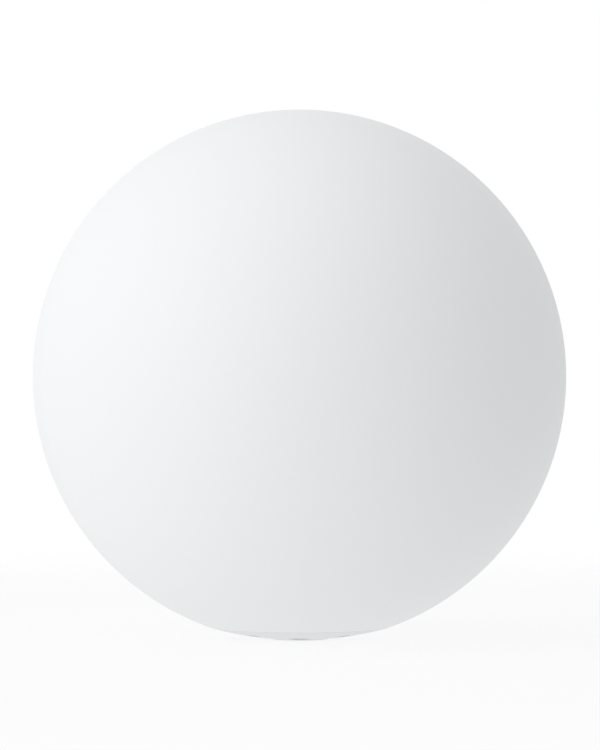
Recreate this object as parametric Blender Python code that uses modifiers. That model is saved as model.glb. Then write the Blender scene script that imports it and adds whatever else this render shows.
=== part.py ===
"""Floating pool light: a milky globe that screws onto a round, watertight base unit.

Metres, +Z up. The origin is the middle of the ring that the light stands on.
The globe's shell turns about Z on a coarse screw thread; the base unit below it holds
the button, the charging port, the hanging bail, the battery, the ballast and the LEDs.
"""
import math

import bmesh
import bpy
from mathutils import Matrix, Vector

MM = 0.001

# Globe
GLOBE_DIAMETER = 300 * MM
GLOBE_WALL = 3.0 * MM
GLOBE_SEGMENTS = 40
SHELL_ROWS = 18
SHELL_INNER_ROWS = 10

# Fits
GAP = 0.3 * MM              # faces that meet
RIM_GAP = 0.5 * MM          # cover's rim to the globe's lip
THREAD_GAP = 0.6 * MM       # thread crests to the wall opposite

# Base cover, the disc under the globe
COVER_WALL = 2.2 * MM
COVER_RIM_HEIGHT = 3.6 * MM
RIM_WIDTH = 11.5 * MM
CROWN_RADIUS = 200 * MM
LIP_STEP = 0.55 * MM        # globe's lip above the cover's lower edge
EDGE_ROUND = 0.6 * MM

# Ring that the light stands on, round the button's recess
FOOT_RADIUS = 16.0 * MM
FOOT_WIDTH = 2.5 * MM
FOOT_HEIGHT = 0.4 * MM
RECESS_DEPTH = 5.6 * MM

# Hanging bail and its round groove
BAIL_RADIUS = 21.0 * MM
BAIL_WIRE = 2.4 * MM
BAIL_SINK = 1.3 * MM
BAIL_PIN = 4.3 * MM
BAIL_BEND = 1.8 * MM
GROOVE_CLEARANCE = 1.2 * MM
HUB_WALL = 3.6 * MM
NOTCH_RADIUS = 6.0 * MM

# Finger pockets for unscrewing the base unit
POCKET_REACH = 11.2 * MM
POCKET_LENGTH = 21.0 * MM
POCKET_CORNER = 4.5 * MM

# Power button
BUTTON_RADIUS = 7.2 * MM
BUTTON_FACE = 1.4 * MM      # its face above the floor that the light stands on
BUTTON_THICKNESS = 2.5 * MM
BUTTON_DOME = 0.6 * MM
BUTTON_TRAVEL = 1.0 * MM
STEM_RADIUS = 3.0 * MM
STEM_LIP = 1.3 * MM
STEM_LIP_HEIGHT = 0.7 * MM
SEAL_WIDTH = 2.0 * MM
SEAL_HEIGHT = 1.1 * MM
SWITCH_SIDE = 6.0 * MM
PLUNGER_RADIUS = 1.7 * MM
PLUNGER_LENGTH = 1.9 * MM
PLUNGER_STROKE = 1.5 * MM   # room left over the plunger in the switch

# Charging port and its flap
PORT_INSET = 0.5 * MM       # jack to the cover's inner wall
FLAP_RADIUS = 8.0 * MM
FLAP_THICKNESS = 1.8 * MM
FLAP_CLEARANCE = 0.4 * MM
STRAP_WIDTH = 6.0 * MM
STRAP_LENGTH = 1.5 * MM
STRAP_BEAD = 0.9 * MM
JACK_SIDE = 8.0 * MM
JACK_NOSE_RADIUS = 3.9 * MM
JACK_BORE_RADIUS = 2.75 * MM
JACK_PIN_RADIUS = 1.0 * MM
JACK_PIN_SET = 0.7 * MM
PLUG_LENGTH = 1.9 * MM
PLUG_RADIUS = 2.3 * MM
PLUG_TIP_RADIUS = 1.9 * MM
PLUG_BORE_RADIUS = 1.35 * MM

# Threaded cup and the globe's neck
CUP_WALL = 2.5 * MM
CELL_ROOM = 2.85 * MM       # corner of the cells to the cup's wall
SEAL_LAND = 4.0 * MM        # cover's rim outside the neck
COVER_SEAL_HEIGHT = 1.2 * MM
GLOBE_SEAL_HEIGHT = 1.7 * MM
THREAD_LEAD = 8.0 * MM
THREAD_TURNS = 1.25
THREAD_DEPTH = 2.4 * MM
THREAD_ROOT = 4.2 * MM
THREAD_CREST = 2.4 * MM
THREAD_BITE = 0.5 * MM      # how far a ridge runs into its wall
THREAD_START = 2.5 * MM     # first turn of the cup's ridge above the cup's lower edge
NECK_LENGTH = 26.0 * MM

# Screws and what they hold
BOSS_INSET = 5.0 * MM       # screws' axes to the cup's inner wall
SCREW_ANGLES = (45, 135, 225, 315)
SCREW_RADIUS = 1.5 * MM
HEAD_RADIUS = 2.9 * MM
HEAD_HEIGHT = 2.0 * MM
SCREW_BITE = 5.0 * MM
BOSS_RADIUS = 4.6 * MM
BOSS_HEIGHT = 10.0 * MM
SMALL_SCREW_RADIUS = 1.1 * MM
SMALL_HEAD_RADIUS = 2.2 * MM
SMALL_HEAD_HEIGHT = 1.4 * MM

# Control board on its posts
BOARD_THICKNESS = 1.6 * MM
BOARD_LIFT = 5.2 * MM
BOARD_MARGIN = 1.9 * MM
POST_RING = 21.5 * MM
POST_RADIUS = 3.0 * MM
POST_ANGLES = (30, 150, 270)

# Ballast, battery and cradle
BALLAST_THICKNESS = 9.0 * MM
BALLAST_BORE = 24.0 * MM
CELL_RADIUS = 9.0 * MM
CELL_LENGTH = 65.0 * MM
CELL_SPACING = 20.0 * MM
CRADLE_SETBACK = 4.5 * MM   # cells' ends past the cradle
CRADLE_HEIGHT = 8.0 * MM
CRADLE_FLOOR = 2.1 * MM
CRADLE_EDGE = 9.0 * MM      # cradle's side from its nearer cell's axis
EAR_CLEARANCE = 0.2 * MM    # ears to the ballast screws' heads
EAR_LENGTH = 8.0 * MM
EAR_REACH = 7.0 * MM
EAR_THICKNESS = 3.0 * MM
STRAP_BAND = 12.0 * MM
STRAP_THICKNESS = 0.8 * MM
TAB_THICKNESS = 0.4 * MM
TAB_HEIGHT = 7.0 * MM
LEAD_RADIUS = 0.7 * MM
LEAD_BEND = 5.0 * MM
LEAD_RISE = 6.0 * MM        # straight part above the board
LEAD_FOOT = 4.0 * MM        # battery leads from the middle at the board
LEAD_WAIST = 5.0 * MM       # at the ballast ring's top
LEAD_SHOULDER = 9.0 * MM    # beside the cells
LEAD_DROP = 3.0 * MM        # their shoulders below the cells' axes
LEAD_TURN = 14.5 * MM       # their turns to the wall from the cells' ends
LEAD_JOG = 2.0 * MM         # their ends past the tabs
LED_LEAD_X = 8.0 * MM
LED_LEAD_BULGE = 1.0 * MM
LED_LEAD_END = 4.0 * MM     # straight part below the LED board

# LED board, LEDs and diffuser dome
LED_BOARD_GAP = 1.3 * MM    # over the battery strap
LED_RING = 24.0 * MM
LED_COUNT = 8
LED_SIDE = 5.0 * MM
LED_HEIGHT = 1.6 * MM
LUG_ANGLES = (90, 222, 318)
LUG_INSET = 5.5 * MM        # their screws' axes to the cup's inner wall
LUG_RADIUS = 3.6 * MM
LUG_HEIGHT = 3.5 * MM
RECEIVER_RADIUS = 3.0 * MM
RECEIVER_HEIGHT = 5.0 * MM
CUP_OVER_BOARD = 1.3 * MM
DOME_HEIGHT = 26.0 * MM
DOME_WALL = 2.2 * MM
DOME_FLANGE = 2.0 * MM
DOME_SEAL_HEIGHT = 1.0 * MM

ROUND_SEGMENTS = 20


def crown(radius):
    """Height of the cover's crowned underside at a distance from the axis."""
    return (FOOT_HEIGHT + math.sqrt(CROWN_RADIUS ** 2 - FOOT_RADIUS ** 2)
            - math.sqrt(CROWN_RADIUS ** 2 - radius ** 2))


# Sizes that follow from the ones above
GLOBE_RADIUS = GLOBE_DIAMETER / 2
CUP_INNER = math.hypot(CELL_LENGTH / 2, CELL_SPACING / 2 + CELL_RADIUS) + CELL_ROOM
CUP_RADIUS = CUP_INNER + CUP_WALL
NECK_RADIUS = CUP_RADIUS + THREAD_DEPTH + THREAD_GAP
NECK_OUTER = NECK_RADIUS + GLOBE_WALL
SCREW_RING = CUP_INNER - BOSS_INSET
LUG_RING = CUP_INNER - LUG_INSET
COVER_RADIUS = NECK_RADIUS + SEAL_LAND
LIP_RADIUS = COVER_RADIUS + RIM_GAP
LIP_Z = crown(COVER_RADIUS) + LIP_STEP
GLOBE_Z = LIP_Z + math.sqrt(GLOBE_RADIUS ** 2 - LIP_RADIUS ** 2)
COVER_TOP = crown(COVER_RADIUS) + COVER_RIM_HEIGHT
CAVITY_RADIUS = COVER_RADIUS - RIM_WIDTH
RECESS_RADIUS = FOOT_RADIUS - FOOT_WIDTH
BAIL_Z = crown(BAIL_RADIUS) + BAIL_SINK + BAIL_WIRE / 2
GROOVE_INNER = BAIL_RADIUS - BAIL_WIRE / 2 - GROOVE_CLEARANCE
GROOVE_OUTER = BAIL_RADIUS + BAIL_WIRE / 2 + GROOVE_CLEARANCE
GROOVE_TOP = BAIL_Z + BAIL_WIRE / 2 + GAP
HUB_RADIUS = GROOVE_OUTER + HUB_WALL
HUB_TOP = max(RECESS_DEPTH, GROOVE_TOP) + COVER_WALL
POCKET_INNER = HUB_RADIUS + GAP
POCKET_MIDDLE = POCKET_INNER + POCKET_REACH / 2
POCKET_TOP = COVER_TOP - COVER_WALL - GAP

BUTTON_TOP = BUTTON_FACE + BUTTON_THICKNESS
SEAL_TOP = RECESS_DEPTH + SEAL_HEIGHT - 2 * GAP
STEM_TOP = HUB_TOP + GAP + STEM_LIP_HEIGHT
BOARD_Z = HUB_TOP + BOARD_LIFT
BOARD_TOP = BOARD_Z + BOARD_THICKNESS

PORT_Y = CAVITY_RADIUS - PORT_INSET - JACK_SIDE / 2
FLAP_TOP = crown(PORT_Y + FLAP_RADIUS) + FLAP_THICKNESS
PORT_FLOOR = FLAP_TOP + GAP
PORT_TOP = PORT_FLOOR + COVER_WALL
FLAP_HINGE_Y = PORT_Y + FLAP_RADIUS + STRAP_LENGTH
FLAP_HINGE_Z = FLAP_TOP - STRAP_BEAD
JACK_TOP = BOARD_Z - GAP

CUP_BOTTOM = COVER_TOP + COVER_SEAL_HEIGHT + 2 * GAP
SEAT_Z = COVER_TOP + GLOBE_SEAL_HEIGHT + 2 * GAP
NECK_TOP = SEAT_Z + NECK_LENGTH
BOSS_TOP = CUP_BOTTOM + BOSS_HEIGHT
BOARD_RADIUS = CUP_INNER - BOARD_MARGIN

BALLAST_Z = BOSS_TOP + GAP
BALLAST_TOP = BALLAST_Z + BALLAST_THICKNESS
CRADLE_Z = BALLAST_TOP + GAP
CELL_Z = CRADLE_Z + CRADLE_FLOOR + GAP + CELL_RADIUS
CRADLE_SIDE = CELL_SPACING / 2 + CRADLE_EDGE
CRADLE_LENGTH = CELL_LENGTH - 2 * CRADLE_SETBACK
EAR_X = SCREW_RING * math.cos(math.radians(SCREW_ANGLES[0])) - HEAD_RADIUS - EAR_CLEARANCE - EAR_LENGTH / 2
STRAP_TOP = CELL_Z + CELL_RADIUS + GAP + STRAP_THICKNESS
LED_BOARD_Z = STRAP_TOP + LED_BOARD_GAP
LED_BOARD_TOP = LED_BOARD_Z + BOARD_THICKNESS
CUP_TOP = LED_BOARD_TOP + CUP_OVER_BOARD
LUG_TOP = LED_BOARD_Z - GAP
DOME_Z = CUP_TOP + DOME_SEAL_HEIGHT + 2 * GAP


def material(name, colour, roughness, metallic=0.0):
    """A plain Principled material."""
    item = bpy.data.materials.get(name)
    if item is None:
        item = bpy.data.materials.new(name)
        item.use_nodes = True
        shader = item.node_tree.nodes["Principled BSDF"]
        shader.inputs["Base Color"].default_value = (*colour, 1.0)
        shader.inputs["Roughness"].default_value = roughness
        shader.inputs["Metallic"].default_value = metallic
        item.diffuse_color = (*colour, 1.0)
    return item


def place(name, mesh, look, location=(0, 0, 0), cutter=False):
    """Put a mesh in the part's collection, or in the cutters' collection."""
    item = bpy.data.objects.new(name, mesh)
    item.location = location
    bpy.data.collections["cutters" if cutter else "floating_pool_light"].objects.link(item)
    if cutter:
        item.hide_render = True
        item.display_type = "WIRE"
    elif look:
        mesh.materials.clear()
        mesh.materials.append(look)
    return item


def baked(item):
    """Swap an object's modifiers for the mesh that they make."""
    view = bpy.context.evaluated_depsgraph_get()
    mesh = bpy.data.meshes.new_from_object(item.evaluated_get(view))
    item.modifiers.clear()
    item.data = mesh
    return item


def shade(item, degrees=35):
    """Smooth shading with edges sharper than the angle left crisp."""
    item.data.shade_smooth()
    item.data.set_sharp_from_angle(angle=math.radians(degrees))
    return item


def turned(name, profile, look, closed=True, steps=ROUND_SEGMENTS, location=(0, 0, 0), cutter=False):
    """Turn a profile of (radius, height) pairs about Z; it runs top to bottom on its outer side."""
    mesh = bpy.data.meshes.new(name)
    edges = [(i, i + 1) for i in range(len(profile) - 1)]
    if closed:
        edges.append((len(profile) - 1, 0))
    mesh.from_pydata([(r, 0, z) for r, z in profile], edges, [])
    item = place(name, mesh, look, location, cutter)
    screw = item.modifiers.new("turn", "SCREW")
    screw.steps = steps
    screw.render_steps = steps
    screw.use_merge_vertices = True
    screw.merge_threshold = 0.00001
    baked(item)
    if look and not cutter:
        item.data.materials.clear()
        item.data.materials.append(look)
    return shade(item)


def box(name, size, location, look=None, cutter=False, bevel=0.0):
    """A box with its centre at the location."""
    mesh = bpy.data.meshes.new(name)
    form = bmesh.new()
    bmesh.ops.create_cube(form, size=1.0, matrix=Matrix.Diagonal((*size, 1.0)))
    form.to_mesh(mesh)
    form.free()
    item = place(name, mesh, look, location, cutter)
    if bevel:
        edge = item.modifiers.new("bevel", "BEVEL")
        edge.width = bevel
        edge.segments = 1
        edge.limit_method = "ANGLE"
        baked(item)
    return item


def rod(name, radius, start, end, look=None, cutter=False, segments=ROUND_SEGMENTS):
    """A straight round bar between two points."""
    start = Vector(start)
    end = Vector(end)
    turn = (end - start).to_track_quat("Z", "Y").to_matrix().to_4x4()
    mesh = bpy.data.meshes.new(name)
    form = bmesh.new()
    bmesh.ops.create_cone(form, cap_ends=True, segments=segments, radius1=radius, radius2=radius,
                          depth=(end - start).length, matrix=turn)
    form.to_mesh(mesh)
    form.free()
    return place(name, mesh, look, (start + end) / 2, cutter)


def plate(name, outline, thickness, look=None, cutter=False):
    """A flat outline in XY, given as closed loops of points, as thick as named and centred on z 0."""
    curve = bpy.data.curves.new(name, "CURVE")
    curve.dimensions = "2D"
    curve.fill_mode = "BOTH"
    curve.extrude = thickness / 2
    for loop in outline:
        line = curve.splines.new("POLY")
        line.points.add(len(loop) - 1)
        for point, (x, y) in zip(line.points, loop):
            point.co = (x, y, 0, 1)
        line.use_cyclic_u = True
    item = bpy.data.objects.new(name, curve)
    bpy.context.scene.collection.objects.link(item)
    return meshed(item, name, look, cutter)


def tube(name, points, radius, look, resolution=2):
    """A wire along the points, with filled ends."""
    curve = bpy.data.curves.new(name, "CURVE")
    curve.dimensions = "3D"
    curve.bevel_depth = radius
    curve.bevel_resolution = resolution
    curve.use_fill_caps = True
    line = curve.splines.new("POLY")
    line.points.add(len(points) - 1)
    for point, place_at in zip(line.points, points):
        point.co = (*place_at, 1)
    item = bpy.data.objects.new(name, curve)
    bpy.context.scene.collection.objects.link(item)
    return meshed(item, name, look, False)


def meshed(item, name, look, cutter):
    """Turn a curve object into a mesh object with its caps welded on."""
    view = bpy.context.evaluated_depsgraph_get()
    mesh = bpy.data.meshes.new_from_object(item.evaluated_get(view))
    form = bmesh.new()
    form.from_mesh(mesh)
    bmesh.ops.remove_doubles(form, verts=form.verts, dist=0.000001)
    bmesh.ops.recalc_face_normals(form, faces=form.faces)
    form.to_mesh(mesh)
    form.free()
    curve = item.data
    bpy.data.objects.remove(item)
    bpy.data.curves.remove(curve)
    return place(name, mesh, look, cutter=cutter)


def combine(item, others, operation):
    """Join or cut an object with others, and keep the mesh that results."""
    for other in others:
        step = item.modifiers.new(other.name, "BOOLEAN")
        step.object = other
        step.operation = operation
        step.solver = "EXACT"
    baked(item)
    for other in others:
        bpy.data.objects.remove(other)
    return shade(item)


def polar(radius, degrees, height=0.0):
    """A point at a distance and an angle from the axis."""
    angle = math.radians(degrees)
    return Vector((radius * math.cos(angle), radius * math.sin(angle), height))


def arc(centre, radius, start, end, count):
    """Points on an arc between two angles in degrees, in a plane of two coordinates."""
    points = []
    for index in range(count + 1):
        angle = math.radians(start + (end - start) * index / count)
        points.append((centre[0] + radius * math.cos(angle), centre[1] + radius * math.sin(angle)))
    return points


def rounded(width, height, corner, centre=(0, 0), count=3):
    """The outline of a rounded rectangle."""
    points = []
    for turn, (sx, sy) in enumerate(((1, 1), (-1, 1), (-1, -1), (1, -1))):
        middle = (centre[0] + sx * (width / 2 - corner), centre[1] + sy * (height / 2 - corner))
        points += arc(middle, corner, 90 * turn, 90 * turn + 90, count)
    return points


def smooth(route, step):
    """Points about a step apart on a smooth curve through the route's points."""
    route = [Vector(point) for point in route]
    ends = [2 * route[0] - route[1], *route, 2 * route[-1] - route[-2]]
    points = []
    for index in range(1, len(ends) - 2):
        before, start, end, after = ends[index - 1:index + 3]
        count = max(1, round((end - start).length / step))
        for part in range(count):
            t = part / count
            points.append(0.5 * (2 * start + (end - before) * t
                                 + (2 * before - 5 * start + 4 * end - after) * t ** 2
                                 + (3 * start - before - 3 * end + after) * t ** 3))
    points.append(route[-1])
    return points


def ridge(name, root_radius, crest_radius, start_z):
    """One helical thread ridge: a section carried round the axis, rising by the lead each turn."""
    mesh = bpy.data.meshes.new(name)
    form = bmesh.new()
    corners = ((root_radius, -THREAD_ROOT / 2), (crest_radius, -THREAD_CREST / 2),
               (crest_radius, THREAD_CREST / 2), (root_radius, THREAD_ROOT / 2))
    face = form.faces.new([form.verts.new((r, 0, start_z + z)) for r, z in corners])
    steps = round(GLOBE_SEGMENTS * THREAD_TURNS)
    bmesh.ops.spin(form, geom=[face, *face.edges, *face.verts], cent=(0, 0, 0), axis=(0, 0, 1),
                   dvec=(0, 0, THREAD_LEAD / GLOBE_SEGMENTS), steps=steps,
                   angle=2 * math.pi * steps / GLOBE_SEGMENTS, use_duplicate=False)
    bmesh.ops.recalc_face_normals(form, faces=form.faces)
    form.to_mesh(mesh)
    form.free()
    return place(name, mesh, None, cutter=True)


def screw_mesh(name, radius, length, head_radius, head_height, steps=8, recess=True):
    """A pan-head screw: head from z 0 to its height, shank above it, and a cross recess if named."""
    profile = [(0, head_height + length), (radius * 0.7, head_height + length),
               (radius, head_height + length - radius * 0.5), (radius, head_height),
               (head_radius, head_height), (head_radius, head_height * 0.45),
               (head_radius * 0.8, 0), (0, 0)]
    item = turned(name, profile, None, closed=False, steps=steps, cutter=True)
    if recess:
        slot = head_radius * 0.34
        bars = [box(name + "_slot", (head_radius * 1.3, slot, head_height), (0, 0, 0), cutter=True),
                box(name + "_slot", (slot, head_radius * 1.3, head_height), (0, 0, 0), cutter=True)]
        combine(bars[0], [bars[1]], "UNION")
        combine(item, [bars[0]], "DIFFERENCE")
    mesh = item.data
    bpy.data.objects.remove(item)
    return mesh


def globe(look):
    """The shell: two spheres joined by a lip and a threaded neck, in one turned profile."""
    inner_radius = GLOBE_RADIUS - GLOBE_WALL
    lip_angle = math.degrees(math.asin(LIP_RADIUS / GLOBE_RADIUS))
    fold_radius = LIP_RADIUS + GLOBE_WALL
    fold_angle = math.degrees(math.asin(fold_radius / inner_radius))
    centre = (0, GLOBE_Z)
    outer = arc(centre, GLOBE_RADIUS, 90, -90 + lip_angle, SHELL_ROWS)
    neck = [(LIP_RADIUS, SEAT_Z), (NECK_RADIUS, SEAT_Z), (NECK_RADIUS, NECK_TOP),
            (NECK_OUTER, NECK_TOP), (NECK_OUTER, SEAT_Z + GLOBE_WALL),
            (fold_radius, SEAT_Z + GLOBE_WALL)]
    inner = arc(centre, inner_radius, -90 + fold_angle, 90, SHELL_INNER_ROWS)
    outer[0] = (0, GLOBE_Z + GLOBE_RADIUS)
    inner[-1] = (0, GLOBE_Z + inner_radius)
    item = turned("globe", outer + neck + inner, look, closed=False, steps=GLOBE_SEGMENTS)
    first = CUP_BOTTOM + THREAD_START + THREAD_LEAD / 2
    thread = ridge("neck_thread", NECK_RADIUS + THREAD_BITE, CUP_RADIUS + THREAD_GAP, first)
    return combine(item, [thread], "UNION")


def globe_seal(look):
    """The flat ring that the globe's seat presses on the cover."""
    low = COVER_TOP + GAP
    high = low + GLOBE_SEAL_HEIGHT
    inner = NECK_RADIUS + GAP
    outer = COVER_RADIUS - GAP
    profile = [(inner, high), (outer, high), (outer, low), (inner, low)]
    return turned("globe_seal", profile, look, steps=GLOBE_SEGMENTS)


def base_cover(look):
    """The crowned disc: foot ring, bail groove, recess, pockets, port cup, screw bosses and posts."""
    crown_rows = 4
    radii = [COVER_RADIUS - EDGE_ROUND - (COVER_RADIUS - EDGE_ROUND - GROOVE_OUTER) * i / crown_rows
             for i in range(crown_rows + 1)]
    profile = [(COVER_RADIUS, COVER_TOP), (COVER_RADIUS, crown(COVER_RADIUS) + EDGE_ROUND)]
    profile += [(r, crown(r)) for r in radii]
    profile += [(GROOVE_OUTER, GROOVE_TOP), (GROOVE_INNER, GROOVE_TOP),
                (GROOVE_INNER, crown(GROOVE_INNER)), (FOOT_RADIUS + FOOT_HEIGHT, crown(FOOT_RADIUS)),
                (FOOT_RADIUS, 0), (RECESS_RADIUS, 0), (RECESS_RADIUS, RECESS_DEPTH),
                (STEM_RADIUS + SEAL_WIDTH + 2 * GAP, RECESS_DEPTH),
                (STEM_RADIUS + SEAL_WIDTH + 2 * GAP, SEAL_TOP + GAP),
                (STEM_RADIUS + GAP, SEAL_TOP + GAP), (STEM_RADIUS + GAP, HUB_TOP),
                (HUB_RADIUS, HUB_TOP), (HUB_RADIUS, crown(HUB_RADIUS) + COVER_WALL),
                (CAVITY_RADIUS, crown(CAVITY_RADIUS) + COVER_WALL), (CAVITY_RADIUS, COVER_TOP)]
    item = turned("base_cover", profile, look, steps=GLOBE_SEGMENTS)

    added = []
    for angle in SCREW_ANGLES:
        foot = polar(SCREW_RING, angle, crown(SCREW_RING) + COVER_WALL / 2)
        added.append(rod("boss", BOSS_RADIUS, foot, (foot.x, foot.y, COVER_TOP), cutter=True, segments=16))
    for angle in POST_ANGLES:
        foot = polar(POST_RING, angle, HUB_TOP - COVER_WALL / 2)
        added.append(rod("post", POST_RADIUS, foot, (foot.x, foot.y, BOARD_Z - GAP), cutter=True,
                         segments=12))
    port_low = crown(PORT_Y) + COVER_WALL / 2
    cups = [rod("port_cup", FLAP_RADIUS + FLAP_CLEARANCE + COVER_WALL, (0, PORT_Y, port_low),
                (0, PORT_Y, PORT_TOP), cutter=True)]
    for side in (1, -1):
        wall = POCKET_TOP + COVER_WALL - crown(POCKET_MIDDLE) - COVER_WALL / 2
        shell = plate("pocket_cup", [rounded(POCKET_REACH + 2 * COVER_WALL, POCKET_LENGTH + 2 * COVER_WALL,
                                             POCKET_CORNER + COVER_WALL)], wall, cutter=True)
        shell.location = (side * POCKET_MIDDLE, 0, POCKET_TOP + COVER_WALL - wall / 2)
        cups.append(shell)
    middle = [(r, crown(r) + COVER_WALL / 2) for r in radii]
    above = turned("above_wall", [(0, COVER_TOP), (radii[0], COVER_TOP), *middle, (0, middle[-1][1])], None,
                   closed=False, steps=GLOBE_SEGMENTS, cutter=True)
    combine(cups[0], cups[1:], "UNION")
    added.append(combine(cups[0], [above], "INTERSECT"))
    combine(item, added, "UNION")

    cut = []
    for angle in SCREW_ANGLES:
        spot = polar(SCREW_RING, angle)
        seat = crown(SCREW_RING) + HEAD_HEIGHT + GAP
        cut.append(rod("screw_hole", SCREW_RADIUS + GAP, (spot.x, spot.y, 0),
                       (spot.x, spot.y, COVER_TOP + GAP), cutter=True, segments=12))
        cut.append(rod("head_hole", HEAD_RADIUS + GAP, (spot.x, spot.y, 0),
                       (spot.x, spot.y, seat + GAP), cutter=True, segments=16))
    for angle in POST_ANGLES:
        spot = polar(POST_RING, angle)
        cut.append(rod("post_hole", SMALL_SCREW_RADIUS + GAP, (spot.x, spot.y, HUB_TOP),
                       (spot.x, spot.y, BOARD_Z), cutter=True, segments=8))
    cut.append(rod("port_pocket", FLAP_RADIUS + FLAP_CLEARANCE, (0, PORT_Y, 0), (0, PORT_Y, PORT_FLOOR),
                   cutter=True))
    cut.append(rod("port_hole", JACK_NOSE_RADIUS + GAP, (0, PORT_Y, 0), (0, PORT_Y, PORT_TOP + GAP),
                   cutter=True))
    slot_end = FLAP_HINGE_Y + STRAP_BEAD + FLAP_CLEARANCE
    cut.append(box("strap_slot", (STRAP_WIDTH + 2 * FLAP_CLEARANCE, slot_end - PORT_Y, PORT_FLOOR),
                   (0, (slot_end + PORT_Y) / 2, PORT_FLOOR / 2), cutter=True))
    for side in (1, -1):
        hole = plate("pocket", [rounded(POCKET_REACH, POCKET_LENGTH, POCKET_CORNER)], POCKET_TOP, cutter=True)
        hole.location = (side * POCKET_MIDDLE, 0, POCKET_TOP / 2)
        cut.append(hole)
    reach = BAIL_RADIUS + BAIL_PIN + GAP
    for side in (1, -1):
        cut.append(rod("bail_hole", BAIL_WIRE / 2 + GAP, (side * BAIL_RADIUS, 0, BAIL_Z),
                       (side * reach, 0, BAIL_Z), cutter=True, segments=12))
    cut.append(rod("thumb_notch", NOTCH_RADIUS, (0, -GROOVE_OUTER, 0), (0, -GROOVE_OUTER, BAIL_Z), cutter=True))
    return combine(item, cut, "DIFFERENCE")


def cover_seal(look):
    """The flat ring between the cover and the cup."""
    low = COVER_TOP + GAP
    high = low + COVER_SEAL_HEIGHT
    inner = CUP_INNER - 1.5 * MM
    outer = CUP_RADIUS - GAP
    profile = [(inner, high), (outer, high), (outer, low), (inner, low)]
    return turned("cover_seal", profile, look, steps=GLOBE_SEGMENTS)


def wall_boss(ring, angle, radius, low, high):
    """A round boss inside the cup and the web that ties it to the cup's wall."""
    foot = polar(ring, angle, low)
    post = rod("boss", radius, foot, (foot.x, foot.y, high), cutter=True, segments=16)
    reach = CUP_INNER + CUP_WALL / 2 - ring
    web = box("web", (reach, radius, high - low - 2 * GAP), polar(ring + reach / 2, angle, (low + high) / 2),
              cutter=True)
    web.rotation_euler.z = math.radians(angle)
    return [post, web]


def threaded_cup(look):
    """The tube that screws into the neck, with screw bosses below and lugs for the LED board."""
    profile = [(CUP_INNER, CUP_TOP), (CUP_RADIUS, CUP_TOP), (CUP_RADIUS, CUP_BOTTOM), (CUP_INNER, CUP_BOTTOM)]
    item = turned("threaded_cup", profile, look, steps=GLOBE_SEGMENTS)
    added = [ridge("cup_thread", CUP_RADIUS - THREAD_BITE, CUP_RADIUS + THREAD_DEPTH, CUP_BOTTOM + THREAD_START)]
    for angle in SCREW_ANGLES:
        added += wall_boss(SCREW_RING, angle, BOSS_RADIUS, CUP_BOTTOM + GAP, BOSS_TOP)
    for angle in LUG_ANGLES:
        added += wall_boss(LUG_RING, angle, LUG_RADIUS, LUG_TOP - LUG_HEIGHT, LUG_TOP)
    combine(item, added, "UNION")
    cut = []
    for angle in SCREW_ANGLES:
        spot = polar(SCREW_RING, angle)
        cut.append(rod("boss_hole", SCREW_RADIUS + GAP, (spot.x, spot.y, CUP_BOTTOM),
                       (spot.x, spot.y, BOSS_TOP + GAP), cutter=True, segments=12))
    for angle in LUG_ANGLES:
        spot = polar(LUG_RING, angle)
        cut.append(rod("lug_hole", SMALL_SCREW_RADIUS + GAP, (spot.x, spot.y, LUG_TOP - LUG_HEIGHT - GAP),
                       (spot.x, spot.y, LUG_TOP + GAP), cutter=True, segments=8))
    return combine(item, cut, "DIFFERENCE")


def cover_screws(look):
    """Four screws up through the cover into the cup's bosses."""
    seat = crown(SCREW_RING) + HEAD_HEIGHT + GAP
    length = CUP_BOTTOM + SCREW_BITE - seat
    mesh = screw_mesh("cover_screw", SCREW_RADIUS, length, HEAD_RADIUS, HEAD_HEIGHT, steps=12)
    for number, angle in enumerate(SCREW_ANGLES, 1):
        item = place("cover_screw_%d" % number, mesh, look, polar(SCREW_RING, angle, seat - HEAD_HEIGHT))
        item.rotation_euler.z = math.radians(17 * number)
        shade(item)


def screws_down(name, mesh, spots, top, head_height, look):
    """Screws with the head up, whose heads seat on the surface at the height named top."""
    for number, spot in enumerate(spots, 1):
        item = place("%s_%d" % (name, number), mesh, look, (spot.x, spot.y, top + GAP + head_height))
        item.rotation_euler = (math.pi, 0, math.radians(23 * number))
        shade(item)


def power_button(look):
    """The push button: a domed cap and a stem whose lip holds it in the cover."""
    profile = [(0, STEM_TOP), (STEM_RADIUS, STEM_TOP), (STEM_RADIUS + STEM_LIP, STEM_TOP - STEM_LIP_HEIGHT / 2),
               (STEM_RADIUS + STEM_LIP, HUB_TOP + GAP), (STEM_RADIUS, HUB_TOP + GAP), (STEM_RADIUS, BUTTON_TOP),
               (BUTTON_RADIUS, BUTTON_TOP), (BUTTON_RADIUS, BUTTON_FACE + BUTTON_DOME + EDGE_ROUND),
               (BUTTON_RADIUS - EDGE_ROUND, BUTTON_FACE + BUTTON_DOME),
               (BUTTON_RADIUS / 2, BUTTON_FACE + BUTTON_DOME / 4), (0, BUTTON_FACE)]
    return turned("power_button", profile, look, closed=False)


def button_seal(look):
    """The ring that seals the button's stem."""
    inner = STEM_RADIUS + GAP
    outer = inner + SEAL_WIDTH
    low = SEAL_TOP - SEAL_HEIGHT
    profile = [(inner, SEAL_TOP), (outer, SEAL_TOP), (outer, low + EDGE_ROUND / 2),
               (outer - EDGE_ROUND / 2, low), (inner, low)]
    return turned("button_seal", profile, look)


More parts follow.
